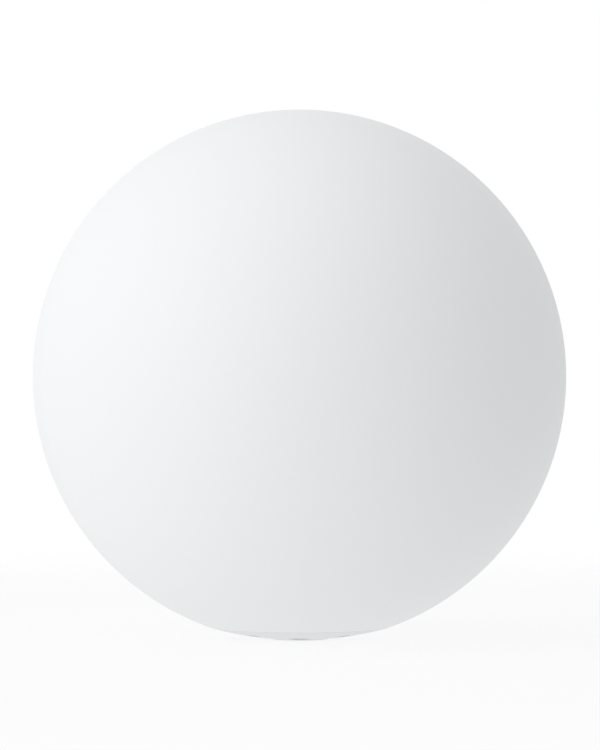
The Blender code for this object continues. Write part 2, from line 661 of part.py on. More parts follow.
def button_switch(case, metal):
    """The board's push switch over the button, and its plunger."""
    low = STEM_TOP + GAP
    case_low = low + BUTTON_TRAVEL + GAP
    top = BOARD_Z - GAP
    body = box("tact_switch", (SWITCH_SIDE, SWITCH_SIDE, top - case_low), (0, 0, (top + case_low) / 2), case)
    bore = rod("bore", PLUNGER_RADIUS + GAP, (0, 0, case_low - GAP),
               (0, 0, low + PLUNGER_LENGTH + PLUNGER_STROKE), cutter=True, segments=16)
    combine(body, [bore], "DIFFERENCE")
    shade(rod("switch_plunger", PLUNGER_RADIUS, (0, 0, low), (0, 0, low + PLUNGER_LENGTH), metal, segments=16))


def charging_port(case, metal, rubber):
    """The jack under the board, its pin, and the flap that closes it."""
    jack = box("charge_jack", (JACK_SIDE, JACK_SIDE, JACK_TOP - PORT_TOP - GAP),
               (0, PORT_Y, (JACK_TOP + PORT_TOP + GAP) / 2), case)
    nose = rod("nose", JACK_NOSE_RADIUS, (0, PORT_Y, PORT_FLOOR + GAP), (0, PORT_Y, JACK_TOP - GAP), cutter=True)
    combine(jack, [nose], "UNION")
    bore_top = JACK_TOP - 2 * GAP
    bore = rod("bore", JACK_BORE_RADIUS, (0, PORT_Y, PORT_FLOOR), (0, PORT_Y, bore_top), cutter=True,
               segments=16)
    combine(jack, [bore], "DIFFERENCE")
    shade(rod("jack_pin", JACK_PIN_RADIUS, (0, PORT_Y, PORT_FLOOR + GAP + JACK_PIN_SET),
              (0, PORT_Y, bore_top - GAP), metal, segments=12))

    tip = PORT_FLOOR + PLUG_LENGTH
    low = FLAP_TOP - FLAP_THICKNESS
    profile = [(0, FLAP_TOP), (PLUG_BORE_RADIUS, FLAP_TOP), (PLUG_BORE_RADIUS, tip), (PLUG_TIP_RADIUS, tip),
               (PLUG_RADIUS, FLAP_TOP), (FLAP_RADIUS, FLAP_TOP), (FLAP_RADIUS, low + EDGE_ROUND),
               (FLAP_RADIUS - EDGE_ROUND, low), (0, low)]
    flap = turned("port_flap", profile, rubber, closed=False, location=(0, PORT_Y, 0))
    strap = box("strap", (STRAP_WIDTH, FLAP_HINGE_Y - PORT_Y - FLAP_RADIUS / 2, STRAP_BEAD * 1.4),
                (0, (FLAP_HINGE_Y + PORT_Y + FLAP_RADIUS / 2) / 2, FLAP_HINGE_Z + STRAP_BEAD * 0.1), cutter=True)
    bead = rod("bead", STRAP_BEAD, (-STRAP_WIDTH / 2, FLAP_HINGE_Y, FLAP_HINGE_Z),
               (STRAP_WIDTH / 2, FLAP_HINGE_Y, FLAP_HINGE_Z), cutter=True, segments=12)
    combine(flap, [strap, bead], "UNION")
    move_origin(flap, (0, FLAP_HINGE_Y, FLAP_HINGE_Z))


def move_origin(item, point):
    """Shift an object's origin to a point without moving its mesh."""
    shift = Vector(point) - item.location
    item.data.transform(Matrix.Translation(-shift))
    item.location = point


def hang_bail(look):
    """A half ring of wire that folds into the groove, with its ends turned out as pins."""
    half = arc((0, 0), BAIL_RADIUS, 180 + math.degrees(BAIL_BEND / BAIL_RADIUS),
               360 - math.degrees(BAIL_BEND / BAIL_RADIUS), 24)
    bend_right = arc((BAIL_RADIUS + BAIL_BEND, -BAIL_BEND), BAIL_BEND, 180, 90, 4)
    bend_left = [(-x, y) for x, y in reversed(bend_right)]
    end = BAIL_RADIUS + BAIL_PIN
    path = [(-end, 0), *bend_left, *half[1:-1], *bend_right, (end, 0)]
    item = tube("hang_ring", [(x, y, BAIL_Z) for x, y in path], BAIL_WIRE / 2, look)
    move_origin(item, (0, 0, BAIL_Z))
    return shade(item)


def control_board(look):
    """The board over the button: a disc with a notch round each of the cup's bosses."""
    board = rod("control_board", BOARD_RADIUS, (0, 0, BOARD_Z), (0, 0, BOARD_TOP), look, segments=32)
    cut = []
    for angle in SCREW_ANGLES:
        spot = polar(SCREW_RING, angle)
        cut.append(rod("notch", BOSS_RADIUS + 2 * GAP, (spot.x, spot.y, BOARD_Z - GAP),
                       (spot.x, spot.y, BOARD_TOP + GAP), cutter=True, segments=16))
        corner = box("corner", (BOSS_RADIUS, 2 * BOSS_RADIUS + 4 * GAP, BOARD_THICKNESS + 2 * GAP), (0, 0, 0),
                     cutter=True)
        corner.location = polar(SCREW_RING + BOSS_RADIUS / 2, angle, (BOARD_Z + BOARD_TOP) / 2)
        corner.rotation_euler.z = math.radians(angle)
        cut.append(corner)
    for angle in POST_ANGLES:
        spot = polar(POST_RING, angle)
        cut.append(rod("hole", SMALL_SCREW_RADIUS + GAP, (spot.x, spot.y, BOARD_Z - GAP),
                       (spot.x, spot.y, BOARD_TOP + GAP), cutter=True, segments=8))
    return combine(board, cut, "DIFFERENCE")


def ballast_ring(look):
    """The heavy ring that keeps the light upright on the water."""
    outer = CUP_INNER - 2 * GAP
    profile = [(BALLAST_BORE, BALLAST_TOP), (outer, BALLAST_TOP), (outer, BALLAST_Z), (BALLAST_BORE, BALLAST_Z)]
    item = turned("ballast_ring", profile, look, steps=32)
    cut = [rod("hole", SCREW_RADIUS + GAP, polar(SCREW_RING, angle, BALLAST_Z - GAP),
               polar(SCREW_RING, angle, BALLAST_TOP + GAP), cutter=True, segments=12) for angle in SCREW_ANGLES]
    for side in (1, -1):
        spot = ear_centre(side)
        cut.append(rod("ear_hole", SMALL_SCREW_RADIUS + GAP, (spot.x, spot.y, BALLAST_Z - GAP),
                       (spot.x, spot.y, BALLAST_TOP + GAP), cutter=True, segments=8))
    return combine(item, cut, "DIFFERENCE")


def ear_centre(side):
    """The middle of one of the cradle's two ears, which lie across from each other."""
    return Vector((side * EAR_X, side * (CRADLE_SIDE + EAR_REACH / 2), 0))


def battery(cell_look, frame_look, strap_look, tab_look):
    """Two cells in a cradle, their end tabs and the strap over them."""
    for number, side in enumerate((1, -1), 1):
        y = side * CELL_SPACING / 2
        shade(rod("battery_cell_%d" % number, CELL_RADIUS, (-CELL_LENGTH / 2, y, CELL_Z),
                  (CELL_LENGTH / 2, y, CELL_Z), cell_look))
    cradle = box("battery_cradle", (CRADLE_LENGTH, 2 * CRADLE_SIDE, CRADLE_HEIGHT),
                 (0, 0, CRADLE_Z + CRADLE_HEIGHT / 2), frame_look)
    ears = []
    holes = []
    for side in (1, -1):
        spot = ear_centre(side)
        ears.append(box("ear", (EAR_LENGTH, EAR_REACH + 2 * GAP, EAR_THICKNESS),
                        (spot.x, spot.y - side * GAP, CRADLE_Z + EAR_THICKNESS / 2), cutter=True))
        holes.append(rod("ear_hole", SMALL_SCREW_RADIUS + GAP, (spot.x, spot.y, CRADLE_Z - GAP),
                         (spot.x, spot.y, CRADLE_Z + EAR_THICKNESS + GAP), cutter=True, segments=8))
        y = side * CELL_SPACING / 2
        holes.append(rod("saddle", CELL_RADIUS + GAP, (-CRADLE_LENGTH, y, CELL_Z), (CRADLE_LENGTH, y, CELL_Z),
                         cutter=True))
    combine(cradle, ears, "UNION")
    combine(cradle, holes, "DIFFERENCE")

    inner = CELL_RADIUS + GAP
    outer = inner + STRAP_THICKNESS
    y = CELL_SPACING / 2
    foot = CRADLE_Z + 2 * GAP
    outside = [(y + outer, foot), *arc((y, CELL_Z), outer, 0, 90, 8), *arc((-y, CELL_Z), outer, 90, 180, 8),
               (-y - outer, foot)]
    inside = [(-y - inner, foot), *arc((-y, CELL_Z), inner, 180, 90, 8), *arc((y, CELL_Z), inner, 90, 0, 8),
              (y + inner, foot)]
    strap = plate("battery_strap", [outside + inside], STRAP_BAND, strap_look)
    strap.data.transform(Matrix(((0, 0, 1, 0), (1, 0, 0, 0), (0, 1, 0, 0), (0, 0, 0, 1))))
    shade(strap)
    for number, side in enumerate((1, -1), 1):
        box("battery_tab_%d" % number, (TAB_THICKNESS, CELL_SPACING + CELL_RADIUS, TAB_HEIGHT),
            (side * (CELL_LENGTH / 2 + GAP + TAB_THICKNESS / 2), 0, CELL_Z), tab_look)


def leads(red, black, grey):
    """Leads from the control board to the battery tabs and to the LED board."""
    side_y = -(CRADLE_SIDE + 2 * GAP + STRAP_THICKNESS + 2 * LEAD_RADIUS)
    wall = CUP_INNER - 3 * GAP - LEAD_RADIUS
    corner = math.degrees(math.atan2(CELL_SPACING / 2 + CELL_RADIUS, CELL_LENGTH / 2))
    tab_x = CELL_LENGTH / 2 + 2 * GAP + TAB_THICKNESS
    tab_y = -CELL_SPACING / 2 - LEAD_JOG
    for name, side, look in (("battery_lead_plus", 1, red), ("battery_lead_minus", -1, black)):
        route = [(side * LEAD_FOOT, side_y, BOARD_TOP + GAP), (side * LEAD_FOOT, side_y, BOARD_TOP + LEAD_RISE),
                 (side * LEAD_WAIST, side_y, BALLAST_TOP), (side * LEAD_SHOULDER, side_y, CELL_Z - LEAD_DROP),
                 (side * (CELL_LENGTH / 2 - LEAD_TURN), side_y, CELL_Z)]
        route += [(side * x, -y, CELL_Z) for x, y in arc((0, 0), wall, corner + 5, corner - 6, 2)]
        route += [(side * (tab_x + LEAD_JOG), tab_y - LEAD_JOG / 2, CELL_Z), (side * tab_x, tab_y, CELL_Z)]
        shade(tube(name, smooth(route, LEAD_BEND), LEAD_RADIUS, look, 1))
    side_y = -side_y
    route = [(0, side_y, BOARD_TOP + GAP), (0, side_y, BOARD_TOP + LEAD_RISE), (LED_LEAD_X, side_y, BALLAST_TOP),
             (LED_LEAD_X + 2 * LED_LEAD_BULGE, side_y + LED_LEAD_BULGE, CELL_Z),
             (LED_LEAD_X, side_y, LED_BOARD_Z - LED_LEAD_END), (LED_LEAD_X, side_y, LED_BOARD_Z - GAP)]
    shade(tube("led_lead", smooth(route, LEAD_BEND), LEAD_RADIUS, grey, 1))


def led_unit(board_look, led_look, case_look):
    """The LED board on the cup's lugs, the ring of LEDs and the remote's receiver."""
    radius = CUP_INNER - 3 * GAP - DOME_WALL
    board = rod("led_board", radius, (0, 0, LED_BOARD_Z), (0, 0, LED_BOARD_TOP), board_look, segments=32)
    cut = [rod("hole", SMALL_SCREW_RADIUS + GAP, polar(LUG_RING, angle, LED_BOARD_Z - GAP),
               polar(LUG_RING, angle, LED_BOARD_TOP + GAP), cutter=True, segments=8) for angle in LUG_ANGLES]
    combine(board, cut, "DIFFERENCE")
    for number in range(LED_COUNT):
        angle = 360 * (number + 0.5) / LED_COUNT
        item = box("led_%d" % (number + 1), (LED_SIDE, LED_SIDE, LED_HEIGHT),
                   polar(LED_RING, angle, LED_BOARD_TOP + GAP + LED_HEIGHT / 2), led_look, bevel=0.3 * MM)
        item.rotation_euler.z = math.radians(angle)
    base = LED_BOARD_TOP + GAP
    tall = base + RECEIVER_HEIGHT
    profile = [(0, tall), (RECEIVER_RADIUS * 0.5, tall - RECEIVER_RADIUS * 0.15),
               (RECEIVER_RADIUS * 0.87, tall - RECEIVER_RADIUS * 0.5), (RECEIVER_RADIUS, tall - RECEIVER_RADIUS),
               (RECEIVER_RADIUS, base), (0, base)]
    turned("remote_receiver", profile, case_look, closed=False, steps=16)


def diffuser_dome(look, rubber):
    """The dome over the LEDs, with its flange on a ring seal and its skirt inside the cup."""
    skirt = CUP_INNER - GAP
    top = DOME_Z + DOME_FLANGE
    low = LED_BOARD_TOP + 2 * GAP
    inner = skirt - DOME_WALL
    rows = 6
    dome = [(skirt * math.sin(math.radians(90 * i / rows)), top + DOME_HEIGHT * math.cos(math.radians(90 * i / rows)))
            for i in range(rows)]
    inside = [(inner * math.cos(math.radians(90 * i / rows)),
               top + (DOME_HEIGHT - DOME_WALL) * math.sin(math.radians(90 * i / rows))) for i in range(rows)]
    profile = [*dome, (skirt, top), (CUP_RADIUS, top), (CUP_RADIUS, DOME_Z), (skirt, DOME_Z), (skirt, low),
               (inner, low), *inside, (0, top + DOME_HEIGHT - DOME_WALL)]
    turned("diffuser_dome", profile, look, closed=False, steps=24)
    seal_low = CUP_TOP + GAP
    seal_high = seal_low + DOME_SEAL_HEIGHT
    ring = [(CUP_INNER + GAP, seal_high), (CUP_RADIUS - GAP, seal_high), (CUP_RADIUS - GAP, seal_low),
            (CUP_INNER + GAP, seal_low)]
    turned("dome_seal", ring, rubber, steps=32)


def fasteners(steel):
    """The screws that hold the boards, the ballast and the cradle."""
    deep = BALLAST_THICKNESS + GAP + 4 * MM
    mesh = screw_mesh("ballast_screw", SCREW_RADIUS, deep, HEAD_RADIUS, HEAD_HEIGHT,
                      recess=False)
    screws_down("ballast_screw", mesh, [polar(SCREW_RING, a) for a in SCREW_ANGLES], BALLAST_TOP, HEAD_HEIGHT, steel)
    mesh = screw_mesh("board_screw", SMALL_SCREW_RADIUS, BOARD_THICKNESS + 3 * MM, SMALL_HEAD_RADIUS, SMALL_HEAD_HEIGHT,
                      recess=False)
    screws_down("board_screw", mesh, [polar(POST_RING, a) for a in POST_ANGLES], BOARD_TOP, SMALL_HEAD_HEIGHT, steel)
    mesh = screw_mesh("led_board_screw", SMALL_SCREW_RADIUS, BOARD_THICKNESS + LUG_HEIGHT - 2 * GAP, SMALL_HEAD_RADIUS,
                      SMALL_HEAD_HEIGHT, recess=False)
    screws_down("led_board_screw", mesh, [polar(LUG_RING, a) for a in LUG_ANGLES], LED_BOARD_TOP,
                SMALL_HEAD_HEIGHT, steel)
    mesh = screw_mesh("cradle_screw", SMALL_SCREW_RADIUS, EAR_THICKNESS + BALLAST_THICKNESS / 2, SMALL_HEAD_RADIUS,
                      SMALL_HEAD_HEIGHT, recess=False)
    screws_down("cradle_screw", mesh, [ear_centre(1), ear_centre(-1)], CRADLE_Z + EAR_THICKNESS,
                SMALL_HEAD_HEIGHT, steel)


def main():
    """Build the whole light."""
    for item in list(bpy.data.objects):
        bpy.data.objects.remove(item)
    for name in ("floating_pool_light", "cutters"):
        bpy.context.scene.collection.children.link(bpy.data.collections.new(name))

    milky = material("milky_polyethylene", (0.86, 0.87, 0.88), 0.42)
    white = material("white_plastic", (0.80, 0.81, 0.82), 0.45)
    clear = material("frosted_plastic", (0.90, 0.91, 0.92), 0.30)
    silicone = material("grey_silicone", (0.42, 0.43, 0.45), 0.60)
    steel = material("stainless_steel", (0.62, 0.62, 0.60), 0.28, 1.0)
    zinc = material("zinc_plate", (0.48, 0.49, 0.50), 0.40, 1.0)
    board = material("circuit_board", (0.05, 0.24, 0.12), 0.45)
    panel = material("white_board", (0.85, 0.86, 0.86), 0.40)
    black = material("black_plastic", (0.03, 0.03, 0.03), 0.45)
    wrap = material("cell_wrap", (0.10, 0.22, 0.46), 0.35)
    nickel = material("nickel", (0.66, 0.64, 0.58), 0.30, 1.0)
    phosphor = material("led_phosphor", (0.85, 0.75, 0.30), 0.35)
    red = material("red_wire", (0.55, 0.04, 0.03), 0.45)
    grey = material("grey_wire", (0.35, 0.36, 0.37), 0.45)

    globe(milky)
    globe_seal(silicone)
    base_cover(white)
    cover_seal(silicone)
    threaded_cup(white)
    cover_screws(steel)
    power_button(silicone)
    button_seal(silicone)
    button_switch(black, nickel)
    charging_port(black, nickel, silicone)
    hang_bail(steel)
    control_board(board)
    ballast_ring(zinc)
    battery(wrap, black, black, nickel)
    leads(red, black, grey)
    led_unit(panel, phosphor, black)
    diffuser_dome(clear, silicone)
    fasteners(steel)


main()
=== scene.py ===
"""Floating pool light, dressed: a milky globe on its round base unit, with everything inside it.

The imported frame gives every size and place. Each piece rides on the body that it belongs to.
"""

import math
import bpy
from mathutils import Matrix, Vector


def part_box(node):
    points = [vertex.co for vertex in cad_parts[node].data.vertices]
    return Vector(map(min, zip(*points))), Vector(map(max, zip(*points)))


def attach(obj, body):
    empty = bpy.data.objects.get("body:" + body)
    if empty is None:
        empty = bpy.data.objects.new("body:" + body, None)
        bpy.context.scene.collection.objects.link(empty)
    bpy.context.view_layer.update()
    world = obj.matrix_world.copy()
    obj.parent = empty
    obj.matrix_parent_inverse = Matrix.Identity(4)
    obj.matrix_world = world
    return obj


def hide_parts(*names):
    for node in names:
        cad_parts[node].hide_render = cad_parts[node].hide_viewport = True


bl_info = {
    "name": "Floating Pool Light",
    "version": (1, 0, 0),
    "blender": (4, 5, 0),
    "location": "View3D > Sidebar > Pool Light",
    "description": "Builds a floating globe light and its base unit, piece by piece",
    "category": "Add Mesh",
}

import bmesh
import bpy
from bpy.props import FloatProperty, FloatVectorProperty, IntProperty, PointerProperty
from mathutils import Matrix, Vector

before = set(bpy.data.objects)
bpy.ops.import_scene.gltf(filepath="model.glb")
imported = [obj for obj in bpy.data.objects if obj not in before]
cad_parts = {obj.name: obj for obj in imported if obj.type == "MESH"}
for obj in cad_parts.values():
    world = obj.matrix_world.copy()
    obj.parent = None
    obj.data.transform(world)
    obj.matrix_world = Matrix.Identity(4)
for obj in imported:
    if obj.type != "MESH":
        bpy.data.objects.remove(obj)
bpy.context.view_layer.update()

MM = 0.001
TAU = 2 * math.pi
GAP = 0.3 * MM              # between faces that meet
THROUGH = MM                # how far a cutter runs past what it cuts
CUP_WALL = 2.5 * MM
BOSS_RADIUS = 4.6 * MM      # round the screws through the cover and the ballast
SCREW_HOLE = 1.8 * MM       # for the large screws
SMALL_HOLE = 1.4 * MM       # for the small ones
LEAD_RADIUS = 0.7 * MM
SHARP_ANGLE = 38            # degrees; edges that bend more stay sharp
MERGE = 0.000001            # points nearer than this become one
DOUBLES = 0.0000005
BLACK = (0.03, 0.03, 0.032)


def low(node):
    """A node's lowest corner."""
    return Vector(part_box(node)[0])


def high(node):
    """A node's highest corner."""
    return Vector(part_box(node)[1])


def span(node):
    """A node's lowest and highest heights."""
    return low(node).z, high(node).z


def radius_of(node):
    """Half a node's width along X."""
    return (high(node).x - low(node).x) / 2


def spot_of(node):
    """The middle of a node, seen from above."""
    return Vector(((low(node).x + high(node).x) / 2, (low(node).y + high(node).y) / 2, 0))


def numbered(name, count):
    """Names of the nodes from 1 to a count."""
    return ["%s_%d" % (name, number) for number in range(1, count + 1)]


def spots_of(name, count):
    """The middles of numbered nodes, seen from above."""
    return [spot_of(node) for node in numbered(name, count)]


def at(spot, height):
    """The point at a height over a spot."""
    return Vector((spot.x, spot.y, height))


def length(name, description, default):
    """A length that the sidebar shows."""
    return FloatProperty(name=name, description=description, unit="LENGTH", default=default)


def amount(name, description, default):
    """A plain number that the sidebar shows."""
    return FloatProperty(name=name, description=description, default=default)


def shade(name, description, default):
    """A colour that the sidebar shows."""
    return FloatVectorProperty(name=name, description=description, subtype="COLOR", default=default)


class GlobeSettings(bpy.types.PropertyGroup):
    """The milky shell and its threaded neck."""

    radius: length("Radius", "Outer radius of the globe", radius_of("globe"))
    centre_z: length("Centre height", "Height of the globe's middle", high("globe").z - 150 * MM)
    wall: length("Wall", "Thickness of the shell", 3.0 * MM)
    lip_radius: length("Lip radius", "Radius of the opening round the base",
                       radius_of("base_cover") + 0.5 * MM)
    lip_round: length("Lip rounding", "Rounding of the opening's edge", 0.18 * MM)
    seat_z: length("Seat height", "Height of the face that meets the seal", high("globe_seal").z + GAP)
    neck_radius: length("Neck radius", "Inner radius of the threaded neck",
                        radius_of("threaded_cup") + 0.6 * MM)
    neck_length: length("Neck length", "Height of the neck over its seat", 26 * MM)
    segments: IntProperty(name="Segments", description="Facets round the globe", default=192, min=24)
    colour: shade("Colour", "Colour of the milky plastic", (0.868, 0.877, 0.875))


class ThreadSettings(bpy.types.PropertyGroup):
    """The coarse screw thread between globe and base unit."""

    lead: length("Lead", "Rise in one turn", 8 * MM)
    turns: amount("Turns", "Length of each ridge in turns", 1.25)
    depth: length("Depth", "Height of a ridge over its wall", 2.4 * MM)
    root: length("Root width", "Width of a ridge at its wall", 4.2 * MM)
    crest: length("Crest width", "Width of a ridge at its crest", 2.4 * MM)
    start: length("Start", "First turn above the cup's lower edge", 2.5 * MM)
    runout: amount("Run-out", "Share of a turn over which a ridge's ends fade", 0.07)


class BaseSettings(bpy.types.PropertyGroup):
    """The crowned cover and what sits in it."""

    colour: shade("Cover colour", "Colour of the moulded cover", (0.878, 0.886, 0.886))
    rubber: shade("Silicone colour", "Colour of the button, flap and seals", (0.36, 0.37, 0.385))
    crown_radius: length("Crown radius", "Radius of the cover's crowned underside", 188 * MM)
    seam: length("Seam", "Gap between the cover and the globe's lip", 0.22 * MM)
    foot_radius: length("Foot radius", "Outer radius of the ring it stands on", 16 * MM)
    foot_width: length("Foot width", "Width of the ring it stands on", 2.5 * MM)
    foot_height: length("Foot height", "How far the ring stands proud", 0.4 * MM)
    edge: length("Edge rounding", "Rounding of the cover's edges", 0.5 * MM)
    wall: length("Wall", "Thickness of the cover", 2.2 * MM)


class StageSettings(bpy.types.PropertyGroup):
    """Camera and light."""

    distance: length("Camera distance", "From the camera to the globe's middle", 2.2)
    globe_pixels: amount("Globe in pixels", "Radius of the globe's outline in the frame", 266.75)
    centre_x: amount("Centre X", "Column of the globe's middle in the frame", 299.5)
    centre_y: amount("Centre Y", "Row of the globe's middle in the frame", 376.3)
    ambient: amount("Ambient", "Mean strength of the light all round", 0.793)
    slope: FloatVectorProperty(name="Ambient slope", default=(-0.081, 0.066, -0.154),
                               description="How the light all round grows along each axis")
    front: amount("Front lamp", "Power of the lamp at the front left in watts", 10.6)
    key: amount("Key lamp", "Power of the small softbox at the left in watts", 3.2)
    top: amount("Top lamp", "Power of the lamp overhead in watts", 5.8)
    floor_radius: length("Floor radius", "Where the floor has run out into white", 1.2)
    floor_glow: amount("Floor glow", "Share of the floor that shows white to the camera", 0.85)
    floor_colour: shade("Floor colour", "Colour of the pale floor", (0.86, 0.86, 0.86))


# Node trees


def socket_inputs(tree, wanted):
    """Add a geometry input, the named inputs and a geometry output to a tree."""
    tree.interface.new_socket("Geometry", in_out="INPUT", socket_type="NodeSocketGeometry")
    for name, kind, value in wanted:
        item = tree.interface.new_socket(name, in_out="INPUT", socket_type=kind)
        if value is not None:
            item.default_value = value
    tree.interface.new_socket("Geometry", in_out="OUTPUT", socket_type="NodeSocketGeometry")


class Wiring:
    """Short calls for adding and joining a node tree's nodes."""

    def __init__(self, tree):
        self.tree = tree

    def node(self, kind, **settings):
        item = self.tree.nodes.new(kind)
        for key, value in settings.items():
            setattr(item, key, value)
        return item

    def join(self, source, target):
        self.tree.links.new(source, target)

    def math(self, operation, *values):
        item = self.node("ShaderNodeMath", operation=operation)
        for index, value in enumerate(values):
            if isinstance(value, (int, float)):
                item.inputs[index].default_value = value
            else:
                self.join(value, item.inputs[index])
        return item.outputs[0]


RIDGE_END = 0.12    # a ridge's height at its very ends, as a share: still inside its wall


def turning_tree():
    """Carry a profile of points round Z: a full turn, or a ridge that climbs and fades at its ends."""
    name = "Turned profile"
    if name in bpy.data.node_groups:
        return bpy.data.node_groups[name]
    tree = bpy.data.node_groups.new(name, "GeometryNodeTree")
    socket_inputs(tree, (("Segments", "NodeSocketInt", 96), ("Turns", "NodeSocketFloat", 1.0),
                         ("Rise", "NodeSocketFloat", 0.0), ("Root", "NodeSocketFloat", 0.0),
                         ("Run-out", "NodeSocketFloat", 0.0), ("Finish", "NodeSocketMaterial", None)))
    wire = Wiring(tree)
    entry = wire.node("NodeGroupInput")
    leave = wire.node("NodeGroupOutput")
    size = wire.node("GeometryNodeAttributeDomainSize", component="MESH")
    wire.join(entry.outputs["Geometry"], size.inputs[0])
    rows = size.outputs["Point Count"]
    grid = wire.node("GeometryNodeMeshGrid")
    wire.join(wire.math("ADD", entry.outputs["Segments"], 1), grid.inputs["Vertices X"])
    wire.join(rows, grid.inputs["Vertices Y"])
    index = wire.node("GeometryNodeInputIndex").outputs[0]
    column = wire.math("FLOOR", wire.math("DIVIDE", wire.math("ADD", index, 0.5), rows))
    row = wire.math("SUBTRACT", index, wire.math("MULTIPLY", column, rows))
    sample = wire.node("GeometryNodeSampleIndex", data_type="FLOAT_VECTOR", domain="POINT")
    wire.join(entry.outputs["Geometry"], sample.inputs["Geometry"])
    wire.join(wire.node("GeometryNodeInputPosition").outputs[0], sample.inputs["Value"])
    wire.join(row, sample.inputs["Index"])
    point = wire.node("ShaderNodeSeparateXYZ")
    wire.join(sample.outputs[0], point.inputs[0])
    part = wire.math("DIVIDE", column, entry.outputs["Segments"])
    turned = wire.math("MULTIPLY", part, entry.outputs["Turns"])
    angle = wire.math("MULTIPLY", turned, TAU)
    nearer = wire.math("MINIMUM", turned, wire.math("SUBTRACT", entry.outputs["Turns"], turned))
    fade = wire.math("MINIMUM", wire.math("DIVIDE", wire.math("ADD", nearer, 0.00001),
                                          wire.math("ADD", entry.outputs["Run-out"], 0.00001)), 1.0)
    fade = wire.math("MAXIMUM", fade, RIDGE_END)
    reach = wire.math("SUBTRACT", point.outputs["X"], entry.outputs["Root"])
    radius = wire.math("ADD", entry.outputs["Root"], wire.math("MULTIPLY", reach, fade))
    spot = wire.node("ShaderNodeCombineXYZ")
    wire.join(wire.math("MULTIPLY", radius, wire.math("COSINE", angle)), spot.inputs["X"])
    wire.join(wire.math("MULTIPLY", radius, wire.math("SINE", angle)), spot.inputs["Y"])
    wire.join(wire.math("ADD", point.outputs["Z"], wire.math("MULTIPLY", turned, entry.outputs["Rise"])),
              spot.inputs["Z"])
    move = wire.node("GeometryNodeSetPosition")
    wire.join(grid.outputs["Mesh"], move.inputs["Geometry"])
    wire.join(spot.outputs[0], move.inputs["Position"])
    merge = wire.node("GeometryNodeMergeByDistance")
    merge.inputs["Distance"].default_value = MERGE
    wire.join(move.outputs[0], merge.inputs["Geometry"])
    soft = wire.node("GeometryNodeSetShadeSmooth")
    wire.join(merge.outputs[0], soft.inputs["Geometry"])
    finish(wire, soft.outputs[0], entry, leave)
    return tree


def finish(wire, geometry, entry, leave):
    """End a tree: real geometry, then the material."""
    real = wire.node("GeometryNodeRealizeInstances")
    wire.join(geometry, real.inputs[0])
    look = wire.node("GeometryNodeSetMaterial")
    wire.join(real.outputs[0], look.inputs["Geometry"])
    wire.join(entry.outputs["Finish"], look.inputs["Material"])
    wire.join(look.outputs[0], leave.inputs[0])


def spread_tree():
    """Put a copy of one object on each point, turned about Z by the point's own angle."""
    name = "Copies on points"
    if name in bpy.data.node_groups:
        return bpy.data.node_groups[name]
    tree = bpy.data.node_groups.new(name, "GeometryNodeTree")
    socket_inputs(tree, (("Copy", "NodeSocketObject", None), ("Finish", "NodeSocketMaterial", None)))
    wire = Wiring(tree)
    entry = wire.node("NodeGroupInput")
    leave = wire.node("NodeGroupOutput")
    source = wire.node("GeometryNodeObjectInfo", transform_space="ORIGINAL")
    wire.join(entry.outputs["Copy"], source.inputs["Object"])
    turn = wire.node("GeometryNodeInputNamedAttribute", data_type="FLOAT")
    turn.inputs["Name"].default_value = "turn"
    angles = wire.node("ShaderNodeCombineXYZ")
    wire.join(turn.outputs["Attribute"], angles.inputs["Z"])
    rotation = wire.node("FunctionNodeEulerToRotation")
    wire.join(angles.outputs[0], rotation.inputs[0])
    copies = wire.node("GeometryNodeInstanceOnPoints")
    wire.join(entry.outputs["Geometry"], copies.inputs["Points"])
    wire.join(source.outputs["Geometry"], copies.inputs["Instance"])
    wire.join(rotation.outputs[0], copies.inputs["Rotation"])
    finish(wire, copies.outputs[0], entry, leave)
    return tree


# Shapes


def link(item):
    """Put a new object into the scene."""
    bpy.context.scene.collection.objects.link(item)
    return item


def piece(name, mesh):
    """A new object at the origin with this mesh."""
    return link(bpy.data.objects.new(name, mesh))


def evaluated(item):
    """A new mesh of an object as its modifiers leave it."""
    view = bpy.context.evaluated_depsgraph_get()
    return bpy.data.meshes.new_from_object(item.evaluated_get(view))


def crisp(item):
    """Smooth shading that keeps edges sharper than the angle."""
    item.data.shade_smooth()
    item.data.set_sharp_from_angle(angle=math.radians(SHARP_ANGLE))
    return item


def formed(name, form, look=None):
    """A new object from a bmesh, which is freed."""
    mesh = bpy.data.meshes.new(name)
    form.to_mesh(mesh)
    form.free()
    if look:
        mesh.materials.append(look)
    return crisp(piece(name, mesh))


def settle(item, tree, name, **inputs):
    """Run a node tree on an object with named inputs, and keep the plain mesh that it makes."""
    step = item.modifiers.new("shape", "NODES")
    step.node_group = tree
    for socket in tree.interface.items_tree:
        if socket.item_type == "SOCKET" and socket.in_out == "INPUT" and socket.name in inputs:
            step[socket.identifier] = inputs[socket.name]
    mesh = evaluated(item)
    mesh.name = name
    bpy.data.objects.remove(item)
    return piece(name, mesh)


def outward(mesh, cap=False):
    """Merge doubles, close open ends if asked, and point the faces outwards."""
    form = bmesh.new()
    form.from_mesh(mesh)
    bmesh.ops.remove_doubles(form, verts=form.verts, dist=DOUBLES)
    rim = [edge for edge in form.edges if edge.is_boundary] if cap else []
    if rim:
        bmesh.ops.holes_fill(form, edges=rim, sides=0)
    bmesh.ops.recalc_face_normals(form, faces=form.faces)
    if form.calc_volume(signed=True) < 0:
        bmesh.ops.reverse_faces(form, faces=form.faces)
    form.to_mesh(mesh)
    form.free()


